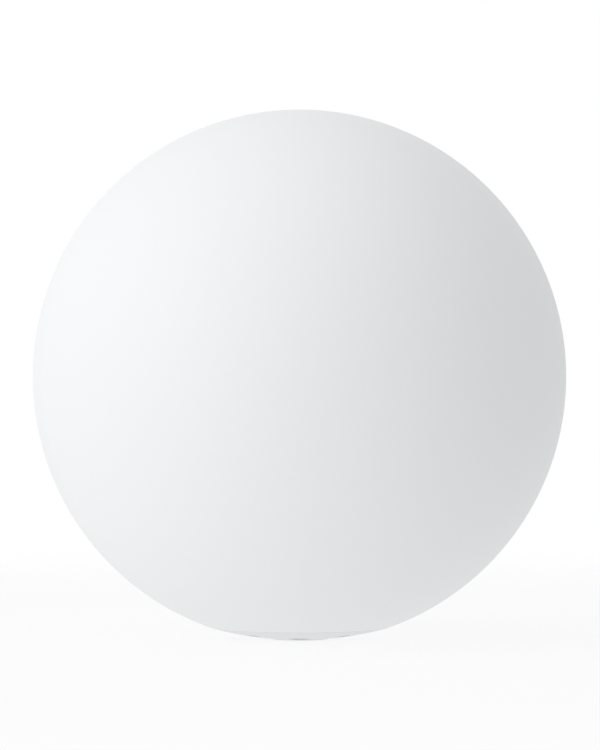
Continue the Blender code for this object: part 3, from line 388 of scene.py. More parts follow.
def turned(name, profile, look, segments=96, closed=False, turns=1.0, rise=0.0, root=0.0, runout=0.0):
    """Turn a profile of (radius, height) points about Z through the turning tree."""
    points = list(profile)
    if closed:
        points.append(points[0])
    mesh = bpy.data.meshes.new(name)
    mesh.from_pydata([(r, 0, z) for r, z in points], [(i, i + 1) for i in range(len(points) - 1)], [])
    item = settle(piece(name + "_profile", mesh), turning_tree(), name, Segments=segments, Turns=turns,
                  Rise=rise, Root=root, Finish=look, **{"Run-out": runout})
    outward(item.data, cap=turns != 1.0 or rise != 0.0)
    return crisp(item)


def lathe(name, corners, look, segments, count=4):
    """Turn a profile of (radius, height, rounding) corners about Z."""
    return turned(name, rounded_profile(corners, count), look, segments)


def copies(name, spots, turns, source, look):
    """One mesh of copies of a source object at the spots, each with its own turn; the source goes."""
    mesh = bpy.data.meshes.new(name)
    mesh.from_pydata([tuple(spot) for spot in spots], [], [])
    layer = mesh.attributes.new("turn", "FLOAT", "POINT")
    for index, angle in enumerate(turns):
        layer.data[index].value = angle
    item = settle(piece(name + "_points", mesh), spread_tree(), name, Copy=source, Finish=look)
    item.data.materials.clear()
    item.data.materials.append(look)
    for face in item.data.polygons:
        face.material_index = 0
    bpy.data.objects.remove(source)
    return crisp(item)


def arc(centre, radius, start, end, count):
    """Points on an arc between two angles in degrees."""
    points = []
    for index in range(count + 1):
        angle = math.radians(start + (end - start) * index / count)
        points.append((centre[0] + radius * math.cos(angle), centre[1] + radius * math.sin(angle)))
    return points


def rounded_profile(points, count=4):
    """A profile whose (radius, height, rounding) corners are rounded where the rounding isn't 0."""
    result = []
    total = len(points)
    for index, (x, y, size) in enumerate(points):
        if size <= 0 or index in (0, total - 1):
            result.append((x, y))
            continue
        here = Vector((x, y))
        before = Vector(points[index - 1][:2]) - here
        after = Vector(points[index + 1][:2]) - here
        angle = before.angle(after)
        reach = min(size / math.tan(angle / 2), before.length * 0.49, after.length * 0.49)
        start = here + before.normalized() * reach
        end = here + after.normalized() * reach
        for step in range(count + 1):
            t = step / count
            spot = start * (1 - t) ** 2 + here * 2 * t * (1 - t) + end * t ** 2
            result.append((spot.x, spot.y))
    return result


def ring(name, inner, outer, height, edge, look, segments=160):
    """A ring with rounded corners between a lower and an upper height."""
    bottom, top = height
    middle = (bottom + top) / 2
    corners = [(inner, middle, 0), (inner, top, edge), (outer, top, edge), (outer, bottom, edge),
               (inner, bottom, edge), (inner, middle, 0)]
    return turned(name, rounded_profile(corners)[:-1], look, segments, closed=True)


def box(name, size, centre, look=None, bevel=0.0, turn=0.0):
    """A box with rounded edges."""
    form = bmesh.new()
    bmesh.ops.create_cube(form, size=1.0, matrix=Matrix.Diagonal((*size, 1.0)))
    if bevel:
        bmesh.ops.bevel(form, geom=form.edges, offset=bevel, segments=2, profile=0.5, affect="EDGES")
    form.transform(Matrix.Translation(centre) @ Matrix.Rotation(turn, 4, "Z"))
    return formed(name, form, look)


def rod(name, radius, start, end, look=None, segments=48):
    """A round bar between two points."""
    start = Vector(start)
    end = Vector(end)
    turn = (end - start).to_track_quat("Z", "Y").to_matrix().to_4x4()
    form = bmesh.new()
    bmesh.ops.create_cone(form, cap_ends=True, segments=segments, radius1=radius, radius2=radius,
                          depth=(end - start).length, matrix=Matrix.Translation((start + end) / 2) @ turn)
    return formed(name, form, look)


def upright(name, radius, spot, bottom, top, segments=48, look=None):
    """A round bar that stands on a spot."""
    return rod(name, radius, at(spot, bottom), at(spot, top), look, segments)


def slab(name, outline, bottom, top, look=None):
    """An upright prism over an outline of (x, y) points."""
    form = bmesh.new()
    face = form.faces.new([form.verts.new((x, y, bottom)) for x, y in outline])
    grown = bmesh.ops.extrude_face_region(form, geom=[face])
    bmesh.ops.translate(form, vec=(0, 0, top - bottom),
                        verts=[v for v in grown["geom"] if isinstance(v, bmesh.types.BMVert)])
    bmesh.ops.recalc_face_normals(form, faces=form.faces)
    return formed(name, form, look)


def rounded_box(width, height, corner, centre=(0, 0), count=10):
    """The outline of a rounded rectangle."""
    points = []
    for turn, (sx, sy) in enumerate(((1, 1), (-1, 1), (-1, -1), (1, -1))):
        middle = (centre[0] + sx * (width / 2 - corner), centre[1] + sy * (height / 2 - corner))
        points += arc(middle, corner, 90 * turn, 90 * turn + 90, count)
    return points


def combine(item, others, operation, overlap=False):
    """Join or cut an object with others and keep the mesh; the others go."""
    for other in others:
        step = item.modifiers.new("step", "BOOLEAN")
        step.object = other
        step.operation = operation
        step.solver = "EXACT"
        step.use_self = overlap
    mesh = evaluated(item)
    item.modifiers.clear()
    item.data = mesh
    for other in others:
        bpy.data.objects.remove(other)
    return crisp(item)


def merged(name, items, look=None):
    """Several objects as one mesh without cutting them."""
    form = bmesh.new()
    for item in items:
        form.from_mesh(item.data)
    for item in items:
        bpy.data.objects.remove(item)
    return formed(name, form, look)


def round_wire(name, points, radius, look, sides=16):
    """A round wire along points with closed ends."""
    curve = bpy.data.curves.new(name, "CURVE")
    curve.dimensions = "3D"
    curve.bevel_depth = radius
    curve.bevel_resolution = (sides - 4) // 4 * 2 + 1
    curve.use_fill_caps = True
    line = curve.splines.new("POLY")
    line.points.add(len(points) - 1)
    for point, spot in zip(line.points, points):
        point.co = (*spot, 1)
    item = link(bpy.data.objects.new(name, curve))
    mesh = evaluated(item)
    bpy.data.objects.remove(item)
    outward(mesh)
    mesh.materials.clear()
    mesh.materials.append(look)
    return crisp(piece(name, mesh))


def polar(radius, degrees, height=0.0):
    """A point at a distance and an angle from the axis."""
    angle = math.radians(degrees)
    return Vector((radius * math.cos(angle), radius * math.sin(angle), height))


def smooth(route, step):
    """Points about a step apart on a smooth curve through the route."""
    route = [Vector(point) for point in route]
    ends = [2 * route[0] - route[1], *route, 2 * route[-1] - route[-2]]
    points = []
    for index in range(1, len(ends) - 2):
        before, start, end, after = ends[index - 1:index + 3]
        count = max(1, round((end - start).length / step))
        for part in range(count):
            t = part / count
            points.append(0.5 * (2 * start + (end - before) * t
                                 + (2 * before - 5 * start + 4 * end - after) * t ** 2
                                 + (3 * start - before - 3 * end + after) * t ** 3))
    points.append(route[-1])
    return points


# Materials


def plain(name, colour, roughness, metallic=0.0, **shader):
    """A Principled material; further values go on the shader's own sockets."""
    item = bpy.data.materials.get(name)
    if item:
        return item, None
    item = bpy.data.materials.new(name)
    item.use_nodes = True
    node = item.node_tree.nodes["Principled BSDF"]
    node.inputs["Base Color"].default_value = (*colour, 1.0)
    node.inputs["Roughness"].default_value = roughness
    node.inputs["Metallic"].default_value = metallic
    for key, value in shader.items():
        node.inputs[key.replace("_", " ")].default_value = value
    item.diffuse_color = (*colour, 1.0)
    return item, Wiring(item.node_tree)


def noise(wire, scale, detail=2.0, stretch=(1, 1, 1), roughness=0.5):
    """Noise on the piece's own coordinates, in patterns per metre."""
    place = wire.node("ShaderNodeTexCoord")
    mapping = wire.node("ShaderNodeMapping")
    mapping.inputs["Scale"].default_value = stretch
    wire.join(place.outputs["Object"], mapping.inputs["Vector"])
    pattern = wire.node("ShaderNodeTexNoise")
    pattern.inputs["Scale"].default_value = scale
    pattern.inputs["Detail"].default_value = detail
    pattern.inputs["Roughness"].default_value = roughness
    wire.join(mapping.outputs[0], pattern.inputs["Vector"])
    return pattern.outputs["Fac"]


def shader_of(wire):
    return wire.tree.nodes["Principled BSDF"]


def tint(wire, factor, dark, light, span=(0.35, 0.65)):
    """Colour that drifts between two tones with a pattern."""
    ramp = wire.node("ShaderNodeValToRGB")
    ramp.color_ramp.elements[0].position = span[0]
    ramp.color_ramp.elements[1].position = span[1]
    ramp.color_ramp.elements[0].color = (*dark, 1.0)
    ramp.color_ramp.elements[1].color = (*light, 1.0)
    wire.join(factor, ramp.inputs[0])
    wire.join(ramp.outputs[0], shader_of(wire).inputs["Base Color"])


def roughen(wire, factor, least, most):
    """Roughness that drifts between two values with a pattern."""
    spread = wire.node("ShaderNodeMapRange")
    spread.inputs["To Min"].default_value = least
    spread.inputs["To Max"].default_value = most
    wire.join(factor, spread.inputs["Value"])
    wire.join(spread.outputs[0], shader_of(wire).inputs["Roughness"])


def relief(wire, layers, edge=0.0):
    """Bump from patterns given as (factor, height in metres), over edges rounded by the shader."""
    normal = None
    if edge:
        soft = wire.node("ShaderNodeBevel", samples=6)
        soft.inputs["Radius"].default_value = edge
        normal = soft.outputs[0]
    for factor, height in layers:
        bump = wire.node("ShaderNodeBump")
        bump.inputs["Strength"].default_value = 1.0
        bump.inputs["Distance"].default_value = height
        wire.join(factor, bump.inputs["Height"])
        if normal:
            wire.join(normal, bump.inputs["Normal"])
        normal = bump.outputs[0]
    wire.join(normal, shader_of(wire).inputs["Normal"])


def shade_of(colour, factor):
    """A colour made lighter or darker."""
    return tuple(min(1.0, part * factor) for part in colour)


def surface(name, colour, roughness, tones, bumps, gloss=None, edge=0.0, metallic=0.0, **shader):
    """A material whose tone and gloss drift, with a fine relief over edges that the shader rounds.

    A pattern is what noise() takes. Tones are (pattern, darker, lighter), each a colour or a factor on
    the base colour. Gloss is (pattern, least, most), and a bump is (pattern, height in millimetres).
    """
    item, wire = plain(name, colour, roughness, metallic, **shader)
    if wire:
        pattern, *ends = tones
        dark, light = [end if isinstance(end, tuple) else shade_of(colour, end) for end in ends]
        tint(wire, noise(wire, *pattern), dark, light)
        if gloss:
            pattern, least, most = gloss
            roughen(wire, noise(wire, *pattern), least, most)
        relief(wire, [(noise(wire, *pattern), height * MM) for pattern, height in bumps], edge)
    return item


def milky_plastic(colour):
    """Blown polyethylene: milky, faintly uneven in wall and gloss, with a very fine orange peel."""
    return surface("milky_polyethylene", colour, 0.3, ((9.0, 3.0, (1, 1, 0.7)), 0.994, 1.004),
                   [((420.0, 2.0), 0.012), ((2600.0, 1.0), 0.004)], ((14.0, 3.0), 0.27, 0.33),
                   Subsurface_Weight=0.35, Subsurface_Scale=0.012, Specular_IOR_Level=0.5,
                   Subsurface_Radius=(1.0, 0.95, 0.9))


def moulded_plastic(name, colour, grain=0.02):
    """Spark-eroded injection moulding: fine even grain, slightly worn gloss."""
    return surface(name, colour, 0.5, ((30.0, 3.0), 0.975, 1.015), [((3200.0, 1.5), grain)],
                   ((90.0, 3.0), 0.42, 0.56), 0.35 * MM, Specular_IOR_Level=0.45)


def white_plastic(base):
    """The base unit's white moulding."""
    return moulded_plastic("white_plastic", base.colour)


def black_plastic():
    """Finely grained black moulding of chips, jack, switch and cradle."""
    return moulded_plastic("black_plastic", BLACK, 0.01)


def silicone(colour):
    """Soft matt silicone with a trace of dust."""
    return surface("grey_silicone", colour, 0.62, ((160.0, 4.0), 0.93, 1.05), [((2400.0, 2.0), 0.012)],
                   ((300.0, 3.0), 0.55, 0.7), 0.3 * MM, Specular_IOR_Level=0.35, Sheen_Weight=0.08)


def drawn_steel():
    """Bright stainless wire and screws, with fine drawing lines."""
    return surface("stainless_steel", (0.66, 0.655, 0.64), 0.22,
                   ((120.0, 3.0), (0.60, 0.595, 0.58), (0.70, 0.695, 0.68)),
                   [((3000.0, 2.0, (1, 1, 0.1)), 0.004)], ((800.0, 2.0, (1, 1, 0.15)), 0.16, 0.32),
                   0.12 * MM, 1.0)


def zinc_plate():
    """Zinc plate on the steel ballast: a grey sheen with a cloudy spangle."""
    return surface("zinc_plate", (0.50, 0.51, 0.52), 0.38,
                   ((140.0, 4.0), (0.42, 0.43, 0.44), (0.58, 0.59, 0.60)), [((900.0, 3.0), 0.01)],
                   ((220.0, 4.0), 0.28, 0.5), 0.3 * MM, 1.0)


def circuit_green():
    """Solder mask over tracks that show as a faint relief."""
    item, wire = plain("circuit_board", (0.02, 0.13, 0.06), 0.35, Coat_Weight=0.4, Coat_Roughness=0.15)
    if wire:
        place = wire.node("ShaderNodeTexCoord")
        bricks = wire.node("ShaderNodeTexBrick", offset=0.5)
        bricks.inputs["Scale"].default_value = 220.0
        bricks.inputs["Mortar Size"].default_value = 0.06
        wire.join(place.outputs["Object"], bricks.inputs["Vector"])
        tint(wire, bricks.outputs["Fac"], (0.018, 0.11, 0.05), (0.03, 0.19, 0.09), (0.2, 0.8))
        relief(wire, ((bricks.outputs["Fac"], 0.03 * MM),), edge=0.1 * MM)
    return item


def frosted_dome():
    """Frosted diffuser over the LEDs."""
    return surface("frosted_plastic", (0.90, 0.91, 0.92), 0.35,
                   ((40.0, 3.0), (0.885, 0.895, 0.905), (0.91, 0.92, 0.93)), [((2200.0, 1.0), 0.008)],
                   ((60.0, 3.0), 0.32, 0.42), Transmission_Weight=0.45, IOR=1.49)


def board_white():
    """White solder mask, faintly uneven."""
    return surface("white_board", (0.85, 0.86, 0.86), 0.38,
                   ((120.0, 3.0), (0.83, 0.84, 0.84), (0.865, 0.875, 0.875)), [((700.0, 2.0), 0.01)],
                   ((200.0, 3.0), 0.3, 0.46), 0.1 * MM, Coat_Weight=0.2)


def sleeve(name, colour):
    """Shrink sleeve of a battery cell, with faint ripples."""
    return surface(name, colour, 0.3, ((90.0, 2.0), 0.9, 1.1), [((260.0, 2.0, (0.2, 1, 1)), 0.03)],
                   Coat_Weight=0.3, Coat_Roughness=0.12)


def wire_skin(name, colour):
    """Insulation of a lead."""
    return surface(name, colour, 0.42, ((250.0, 3.0), 0.88, 1.12), [((1500.0, 2.0), 0.01)],
                   ((400.0, 2.0), 0.36, 0.5))


def nickel_plate():
    """Bright nickel on tabs, pins and contacts."""
    return surface("nickel", (0.66, 0.63, 0.57), 0.25,
                   ((300.0, 3.0), (0.61, 0.58, 0.52), (0.70, 0.67, 0.61)), [((2500.0, 2.0), 0.005)],
                   ((700.0, 3.0, (1, 0.2, 1)), 0.2, 0.38), 0.1 * MM, 1.0)


def phosphor():
    """Yellow phosphor under clear silicone."""
    return surface("led_phosphor", (0.86, 0.70, 0.22), 0.3,
                   ((1800.0, 3.0), (0.80, 0.62, 0.16), (0.92, 0.78, 0.30)), [((3000.0, 2.0), 0.01)],
                   Coat_Weight=0.8, Coat_Roughness=0.08)


def seen_white(wire, rays):
    """1 for rays that should meet a white surround: the camera's, and those off gloss or through glass."""
    return wire.math("MAXIMUM", rays.outputs["Is Camera Ray"],
                     wire.math("MAXIMUM", rays.outputs["Is Glossy Ray"], rays.outputs["Is Transmission Ray"]))


def pale_floor(colour, radius, glow):
    """A matt pale floor that runs out softly into the white round it.

    To the camera a share of it glows white, so that only the object's shadow shows on it. Light that
    reaches the object from below passes through it, as from a light table.
    """
    item, wire = plain("pale_floor", colour, 0.9)
    rays = wire.node("ShaderNodeLightPath")
    white = wire.node("ShaderNodeEmission")
    seen = wire.node("ShaderNodeMixShader")
    wire.join(wire.math("MULTIPLY", seen_white(wire, rays), glow), seen.inputs[0])
    wire.join(shader_of(wire).outputs[0], seen.inputs[1])
    wire.join(white.outputs[0], seen.inputs[2])
    place = wire.node("ShaderNodeTexCoord")
    distance = wire.node("ShaderNodeVectorMath", operation="LENGTH")
    wire.join(place.outputs["Object"], distance.inputs[0])
    fade = wire.node("ShaderNodeMapRange", interpolation_type="SMOOTHSTEP")
    fade.inputs["From Min"].default_value = radius * 0.3
    fade.inputs["From Max"].default_value = radius
    wire.join(distance.outputs["Value"], fade.inputs["Value"])
    back = wire.node("ShaderNodeNewGeometry").outputs["Backfacing"]
    gone = wire.math("MAXIMUM", wire.math("MAXIMUM", fade.outputs[0], back), rays.outputs["Is Diffuse Ray"])
    clear = wire.node("ShaderNodeBsdfTransparent")
    mix = wire.node("ShaderNodeMixShader")
    wire.join(gone, mix.inputs[0])
    wire.join(seen.outputs[0], mix.inputs[1])
    wire.join(clear.outputs[0], mix.inputs[2])
    wire.join(mix.outputs[0], wire.tree.nodes["Material Output"].inputs["Surface"])
    return item


def repaint(node, look):
    """Give a carried-over node its material."""
    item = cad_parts[node]
    item.data.materials.clear()
    item.data.materials.append(look)


# Pieces


def dress(item, body, slot, *nodes):
    """Let a finished piece ride on its body and stand for its nodes. The slot is not used."""
    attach(item, body)
    if nodes:
        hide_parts(*nodes)
    return item


RIDGE_BITE = 0.4 * MM       # how far a ridge runs into its wall
CREST_ROUND = 0.5 * MM


def thread_ridge(name, settings, wall_radius, crest_radius, start_z, look):
    """One helical ridge whose ends fade into its wall."""
    root = wall_radius + (RIDGE_BITE if wall_radius > crest_radius else -RIDGE_BITE)
    half_root = settings.root / 2
    half_crest = settings.crest / 2
    section = [(root, 0, 0), (root, half_root, 0), (crest_radius, half_crest, CREST_ROUND),
               (crest_radius, -half_crest, CREST_ROUND), (root, -half_root, 0), (root, 0, 0)]
    section = [(r, start_z + z) for r, z in rounded_profile(section, 3)][:-1]
    return turned(name, section, look, segments=160, closed=True, turns=settings.turns, rise=settings.lead,
                  root=root, runout=settings.runout)


class POOLLIGHT_OT_globe(bpy.types.Operator):
    """Make the milky shell with its lip, neck and inner thread"""

    bl_idname = "pool_light.globe"
    bl_label = "Globe"

    def execute(self, context):
        s = context.scene.pool_globe
        thread = context.scene.pool_thread
        look = milky_plastic(s.colour)
        inner_radius = s.radius - s.wall
        fold_radius = s.lip_radius + s.wall
        neck_outer = s.neck_radius + s.wall
        neck_top = s.seat_z + s.neck_length
        lip_angle = math.degrees(math.asin(s.lip_radius / s.radius))
        fold_angle = math.degrees(math.asin(fold_radius / inner_radius))
        centre = (0, s.centre_z)
        points = [(r, z, 0) for r, z in arc(centre, s.radius, 90, -90 + lip_angle, 150)]
        lip = points.pop()
        points[0] = (0, s.centre_z + s.radius, 0)
        points += [(lip[0], lip[1], s.lip_round), (s.lip_radius, s.seat_z, s.lip_round),
                   (s.neck_radius, s.seat_z, s.lip_round), (s.neck_radius, neck_top, s.wall / 3),
                   (neck_outer, neck_top, s.wall / 3), (neck_outer, s.seat_z + s.wall, s.wall / 2),
                   (fold_radius, s.seat_z + s.wall, s.wall / 2)]
        inside = [(r, z, 0) for r, z in arc(centre, inner_radius, -90 + fold_angle, 90, 90)]
        inside[-1] = (0, s.centre_z + inner_radius, 0)
        profile = rounded_profile(points + inside, 5)
        shell = turned("shell", profile, look, s.segments)
        first = high("cover_seal").z + GAP + thread.start + thread.lead / 2
        ridge = thread_ridge("ridge", thread, s.neck_radius, s.neck_radius - thread.depth, first, look)
        globe = merged("milky_globe", [shell, ridge], look)
        dress(globe, "globe_shell", "milky_polyethylene", "globe")
        return {"FINISHED"}


SEAL_WIDTH = 2.0 * MM       # of the button's seal


class POOLLIGHT_OT_seals(bpy.types.Operator):
    """Make the ring seals of globe, cover, dome and button"""

    bl_idname = "pool_light.seals"
    bl_label = "Seals"

    def execute(self, context):
        look = silicone(context.scene.pool_base.rubber)
        for node, body, width in (("globe_seal", "globe_seat_seal", 3.4 * MM),
                                  ("cover_seal", "base", 3.7 * MM), ("dome_seal", "base", 1.9 * MM),
                                  ("button_seal", "base", SEAL_WIDTH)):
            outer = radius_of(node)
            bottom, top = span(node)
            edge = (top - bottom) * 0.3
            seal = ring(node + "_ring", outer - width, outer, (bottom, top), edge, look)
            dress(seal, body, "grey_silicone", node)
        return {"FINISHED"}


def crown_height(base, radius):
    """Height of the crowned underside at a distance from the axis."""
    return (base.foot_height + math.sqrt(base.crown_radius ** 2 - base.foot_radius ** 2)
            - math.sqrt(base.crown_radius ** 2 - radius ** 2))


RIM_WIDTH = 11.5 * MM       # cover's edge to the hollow behind it
GROOVE_ROOM = 1.2 * MM      # bail to the groove's walls
HUB_WALL = 3.6 * MM         # groove to the outside of the hub round it
RECESS_TOP = 5.6 * MM       # ceiling of the button's recess
POST_RADIUS = 3 * MM
FLAP_PLUG = 1.9 * MM        # flap's plug above the floor of its pocket
PORT_CUP = 10.6 * MM        # outside of the cup round the port
PORT_POCKET = 8.4 * MM      # its inside
PORT_HOLE = 4.2 * MM        # for the jack's nose
POCKET_REACH = 11.2 * MM    # finger pockets
POCKET_LENGTH = 21 * MM
POCKET_CORNER = 4.5 * MM
HEAD_DEPTH = 2 * MM         # sunk screw heads
HEAD_HOLE = 3.2 * MM
STRAP_SLOT = 6.8 * MM
THUMB_RADIUS = 6 * MM       # notch for lifting the bail
FINE = 0.1 * MM             # smallest edge rounding
COVER_SEGMENTS = 224


class POOLLIGHT_OT_cover(bpy.types.Operator):
    """Make the crowned cover with its foot ring, groove, recess, pockets and posts"""

    bl_idname = "pool_light.cover"
    bl_label = "Base cover"

    def execute(self, context):
        s = context.scene.pool_base
        look = white_plastic(s)
        cavity = radius_of("base_cover") - RIM_WIDTH
        outer = context.scene.pool_globe.lip_radius - s.seam
        top = low("cover_seal").z - GAP
        bail_low, bail_high = span("hang_ring")
        bail_wire = bail_high - bail_low
        bail_radius = -low("hang_ring").y - bail_wire / 2
        groove_inner = bail_radius - bail_wire / 2 - GROOVE_ROOM
        groove_outer = bail_radius + bail_wire / 2 + GROOVE_ROOM
        groove_top = bail_high + GAP
        hub = groove_outer + HUB_WALL
        recess = s.foot_radius - s.foot_width
        hub_top = RECESS_TOP + s.wall
        seal_outer = radius_of("button_seal") + GAP
        seal_top = high("button_seal").z + GAP
        stem = radius_of("button_seal") - SEAL_WIDTH
        edge = s.edge
        rows = 24
        start = outer - edge
        inside = crown_height(s, cavity) + s.wall
        seam = (cavity, (top + crown_height(s, cavity) + s.wall) / 2, 0)
        points = [seam, (cavity, top, edge / 2), (outer, top, edge),
                  (outer, crown_height(s, outer), edge * 0.4)]
        radii = [start - (start - groove_outer) * index / rows for index in range(rows + 1)]
        points += [(r, crown_height(s, r), 0) for r in radii[1:-1]]
        points += [(groove_outer, crown_height(s, groove_outer), edge * 0.8),
                   (groove_outer, groove_top, edge), (groove_inner, groove_top, edge),
                   (groove_inner, crown_height(s, groove_inner), edge * 0.8),
                   (s.foot_radius + s.foot_height * 1.6, crown_height(s, s.foot_radius), edge * 0.6),
                   (s.foot_radius, 0, edge * 0.7), (recess, 0, edge * 0.7), (recess, RECESS_TOP, edge * 1.4),
                   (seal_outer, RECESS_TOP, edge * 0.4), (seal_outer, seal_top, FINE),
                   (stem, seal_top, FINE), (stem, hub_top, FINE), (hub, hub_top, edge),
                   (hub, crown_height(s, hub) + s.wall, edge), (cavity, inside, edge), seam]
        cover = turned("cover_body", rounded_profile(points)[:-1], look, COVER_SEGMENTS, closed=True)

        screws = spots_of("cover_screw", 4)
        posts = spots_of("board_screw", 3)
        port = spot_of("charge_jack")
        board = low("control_board").z
        port_floor = high("port_flap").z - FLAP_PLUG
        pocket_middle = hub + GAP + POCKET_REACH / 2
        pocket_top = top - s.wall - GAP
        added = [upright("boss", BOSS_RADIUS, spot, crown_height(s, spot.xy.length) + s.wall / 2, top)
                 for spot in screws]
        added += [upright("post", POST_RADIUS, spot, hub_top - s.wall / 2, board - GAP) for spot in posts]
        cups = [upright("port_cup", PORT_CUP, port, crown_height(s, port.y) + s.wall / 2,
                        port_floor + s.wall, 64)]
        for side in (1, -1):
            outline = rounded_box(POCKET_REACH + 2 * s.wall, POCKET_LENGTH + 2 * s.wall,
                                  POCKET_CORNER + s.wall, (side * pocket_middle, 0))
            cups.append(slab("pocket_cup", outline, crown_height(s, pocket_middle) + s.wall / 2,
                             pocket_top + s.wall))
        middle = [(start, top), *[(r, crown_height(s, r) + s.wall / 2) for r in radii]]
        above = turned("above_wall", [(0, top), *middle, (0, middle[-1][1])], look, COVER_SEGMENTS)
        combine(cups[0], cups[1:], "UNION")
        combine(cups[0], [above], "INTERSECT")
        combine(cover, added + cups[:1], "UNION")

        cut = []
        for spot in screws:
            seat = crown_height(s, spot.xy.length) + HEAD_DEPTH + 2 * GAP
            cut.append(upright("screw_hole", SCREW_HOLE, spot, -THROUGH, top + THROUGH, 32))
            cut.append(upright("head_hole", HEAD_HOLE, spot, -THROUGH, seat))
        cut += [upright("post_hole", SMALL_HOLE, spot, hub_top, board, 24) for spot in posts]
        cut.append(upright("port_pocket", PORT_POCKET, port, -THROUGH, port_floor, 96))
        cut.append(upright("port_hole", PORT_HOLE, port, 0, port_floor + s.wall + GAP))
        slot_end = high("port_flap").y + 0.4 * MM
        outline = rounded_box(STRAP_SLOT, slot_end - port.y, 0.8 * MM, (0, (slot_end + port.y) / 2), 4)
        cut.append(slab("strap_slot", outline, -THROUGH, port_floor - 0.01 * MM))
        axis = (bail_high + bail_low) / 2
        for side in (1, -1):
            outline = rounded_box(POCKET_REACH, POCKET_LENGTH, POCKET_CORNER, (side * pocket_middle, 0))
            cut.append(slab("pocket", outline, -THROUGH, pocket_top))
            cut.append(rod("bail_hole", bail_wire / 2 + GAP, (side * bail_radius, 0, axis),
                           (side * (high("hang_ring").x + GAP), 0, axis), segments=32))
        cut.append(upright("thumb_notch", THUMB_RADIUS, Vector((0, -groove_outer)), -THROUGH,
                           bail_high - bail_wire / 2, 96))
        combine(cover, cut, "DIFFERENCE")
        cover.name = "cover"
        dress(cover, "base", "white_plastic", "base_cover")
        return {"FINISHED"}


LUG_RADIUS = 3.6 * MM       # lugs that carry the LED board
LUG_HEIGHT = 3.5 * MM
WEB_SETBACK = 0.4 * MM      # webs start this far outside their screw's axis
WEB_BITE = 1.2 * MM         # and run this far into the cup's wall


class POOLLIGHT_OT_cup(bpy.types.Operator):
    """Make the threaded cup with its ridge, screw bosses and lugs"""

    bl_idname = "pool_light.cup"
    bl_label = "Threaded cup"

    def execute(self, context):
        thread = context.scene.pool_thread
        look = white_plastic(context.scene.pool_base)
        outer = radius_of("threaded_cup") - thread.depth
        inner = outer - CUP_WALL
        bottom, top = span("threaded_cup")
        cup = ring("cup_body", inner, outer, (bottom, top), 0.4 * MM, look, 192)
        added = [thread_ridge("ridge", thread, outer, outer + thread.depth, bottom + thread.start, look)]
        boss_top = low("ballast_ring").z - GAP
        lug_top = low("led_board").z - GAP
        stands = [(spot, BOSS_RADIUS, SCREW_HOLE, bottom + GAP, boss_top)
                  for spot in spots_of("cover_screw", 4)]
        stands += [(spot, LUG_RADIUS, SMALL_HOLE, lug_top - LUG_HEIGHT, lug_top)
                   for spot in spots_of("led_board_screw", 3)]
        for spot, radius, hole, start, end in stands:
            added.append(upright("boss", radius, spot, start, end))
            begin = spot.xy.length + WEB_SETBACK
            reach = inner + WEB_BITE - begin
            middle = spot.xy.normalized() * (begin + reach / 2)
            added.append(box("web", (reach, radius * 0.9, end - start - 2 * GAP),
                             (middle.x, middle.y, (start + end) / 2), turn=math.atan2(spot.y, spot.x)))
        combine(cup, added, "UNION")
        cut = [upright("hole", hole, spot, start - THROUGH, end + THROUGH, 24)
               for spot, radius, hole, start, end in stands]
        combine(cup, cut, "DIFFERENCE")
        cup.name = "cup"
        dress(cup, "base", "white_plastic", "threaded_cup")
        return {"FINISHED"}


def pan_screw(name, radius, length, head_radius, head_height, look):
    """A pan-head screw pointing up from its head at z 0, with a tapered cross recess."""
    edge = head_height * 0.55
    profile = [(0, head_height + length, 0), (radius * 0.72, head_height + length, 0.1 * MM),
               (radius, head_height + length - radius * 0.6, 0.1 * MM), (radius, head_height, 0.12 * MM),
               (head_radius, head_height, 0.12 * MM), (head_radius, head_height * 0.5, edge),
               (head_radius * 0.7, 0, edge), (0, 0, 0)]
    item = lathe(name, profile, look, 40, 5)
    form = bmesh.new()
    for turn in (0, math.pi / 2):
        blade = bmesh.ops.create_cube(form, size=1.0)["verts"]
        for vert in blade:
            deep = vert.co.z > 0
            vert.co.x *= head_radius * (0.55 if deep else 1.25)
            vert.co.y *= head_radius * (0.18 if deep else 0.30)
            vert.co.z = head_height * 0.72 if deep else -head_height * 0.4
        bmesh.ops.rotate(form, verts=blade, cent=(0, 0, 0), matrix=Matrix.Rotation(turn, 3, "Z"))
    return combine(item, [formed("cross", form)], "DIFFERENCE", overlap=True)


LARGE_SCREW = (1.5 * MM, 2.9 * MM, 2.0 * MM)    # radius, and its head's radius and height
SMALL_SCREW = (1.1 * MM, 2.2 * MM, 1.4 * MM)


class POOLLIGHT_OT_screws(bpy.types.Operator):
    """Put the screws in, each size as copies of one screw"""

    bl_idname = "pool_light.screws"
    bl_label = "Screws"

    def execute(self, context):
        look = drawn_steel()
        for name, count, (radius, head_radius, head_height), up in (
                ("cover_screw", 4, LARGE_SCREW, True), ("ballast_screw", 4, LARGE_SCREW, False),
                ("board_screw", 3, SMALL_SCREW, False), ("led_board_screw", 3, SMALL_SCREW, False),
                ("cradle_screw", 2, SMALL_SCREW, False)):
            nodes = numbered(name, count)
            bottom, top = span(nodes[0])
            source = pan_screw(name + "_form", radius, top - bottom - head_height, head_radius, head_height,
                               look)
            if not up:
                source.data.transform(Matrix.Rotation(math.pi, 4, "X"))
            spots = [at(spot_of(node), bottom if up else top) for node in nodes]
            turns = [math.radians(31 + 67 * index) for index in range(count)]
            screws = copies(name + "s", spots, turns, source, look)
            dress(screws, "base", "stainless_steel", *nodes)
        return {"FINISHED"}


TRAVEL_ROOM = 1.3 * MM      # over the plunger, for its 1 mm of travel


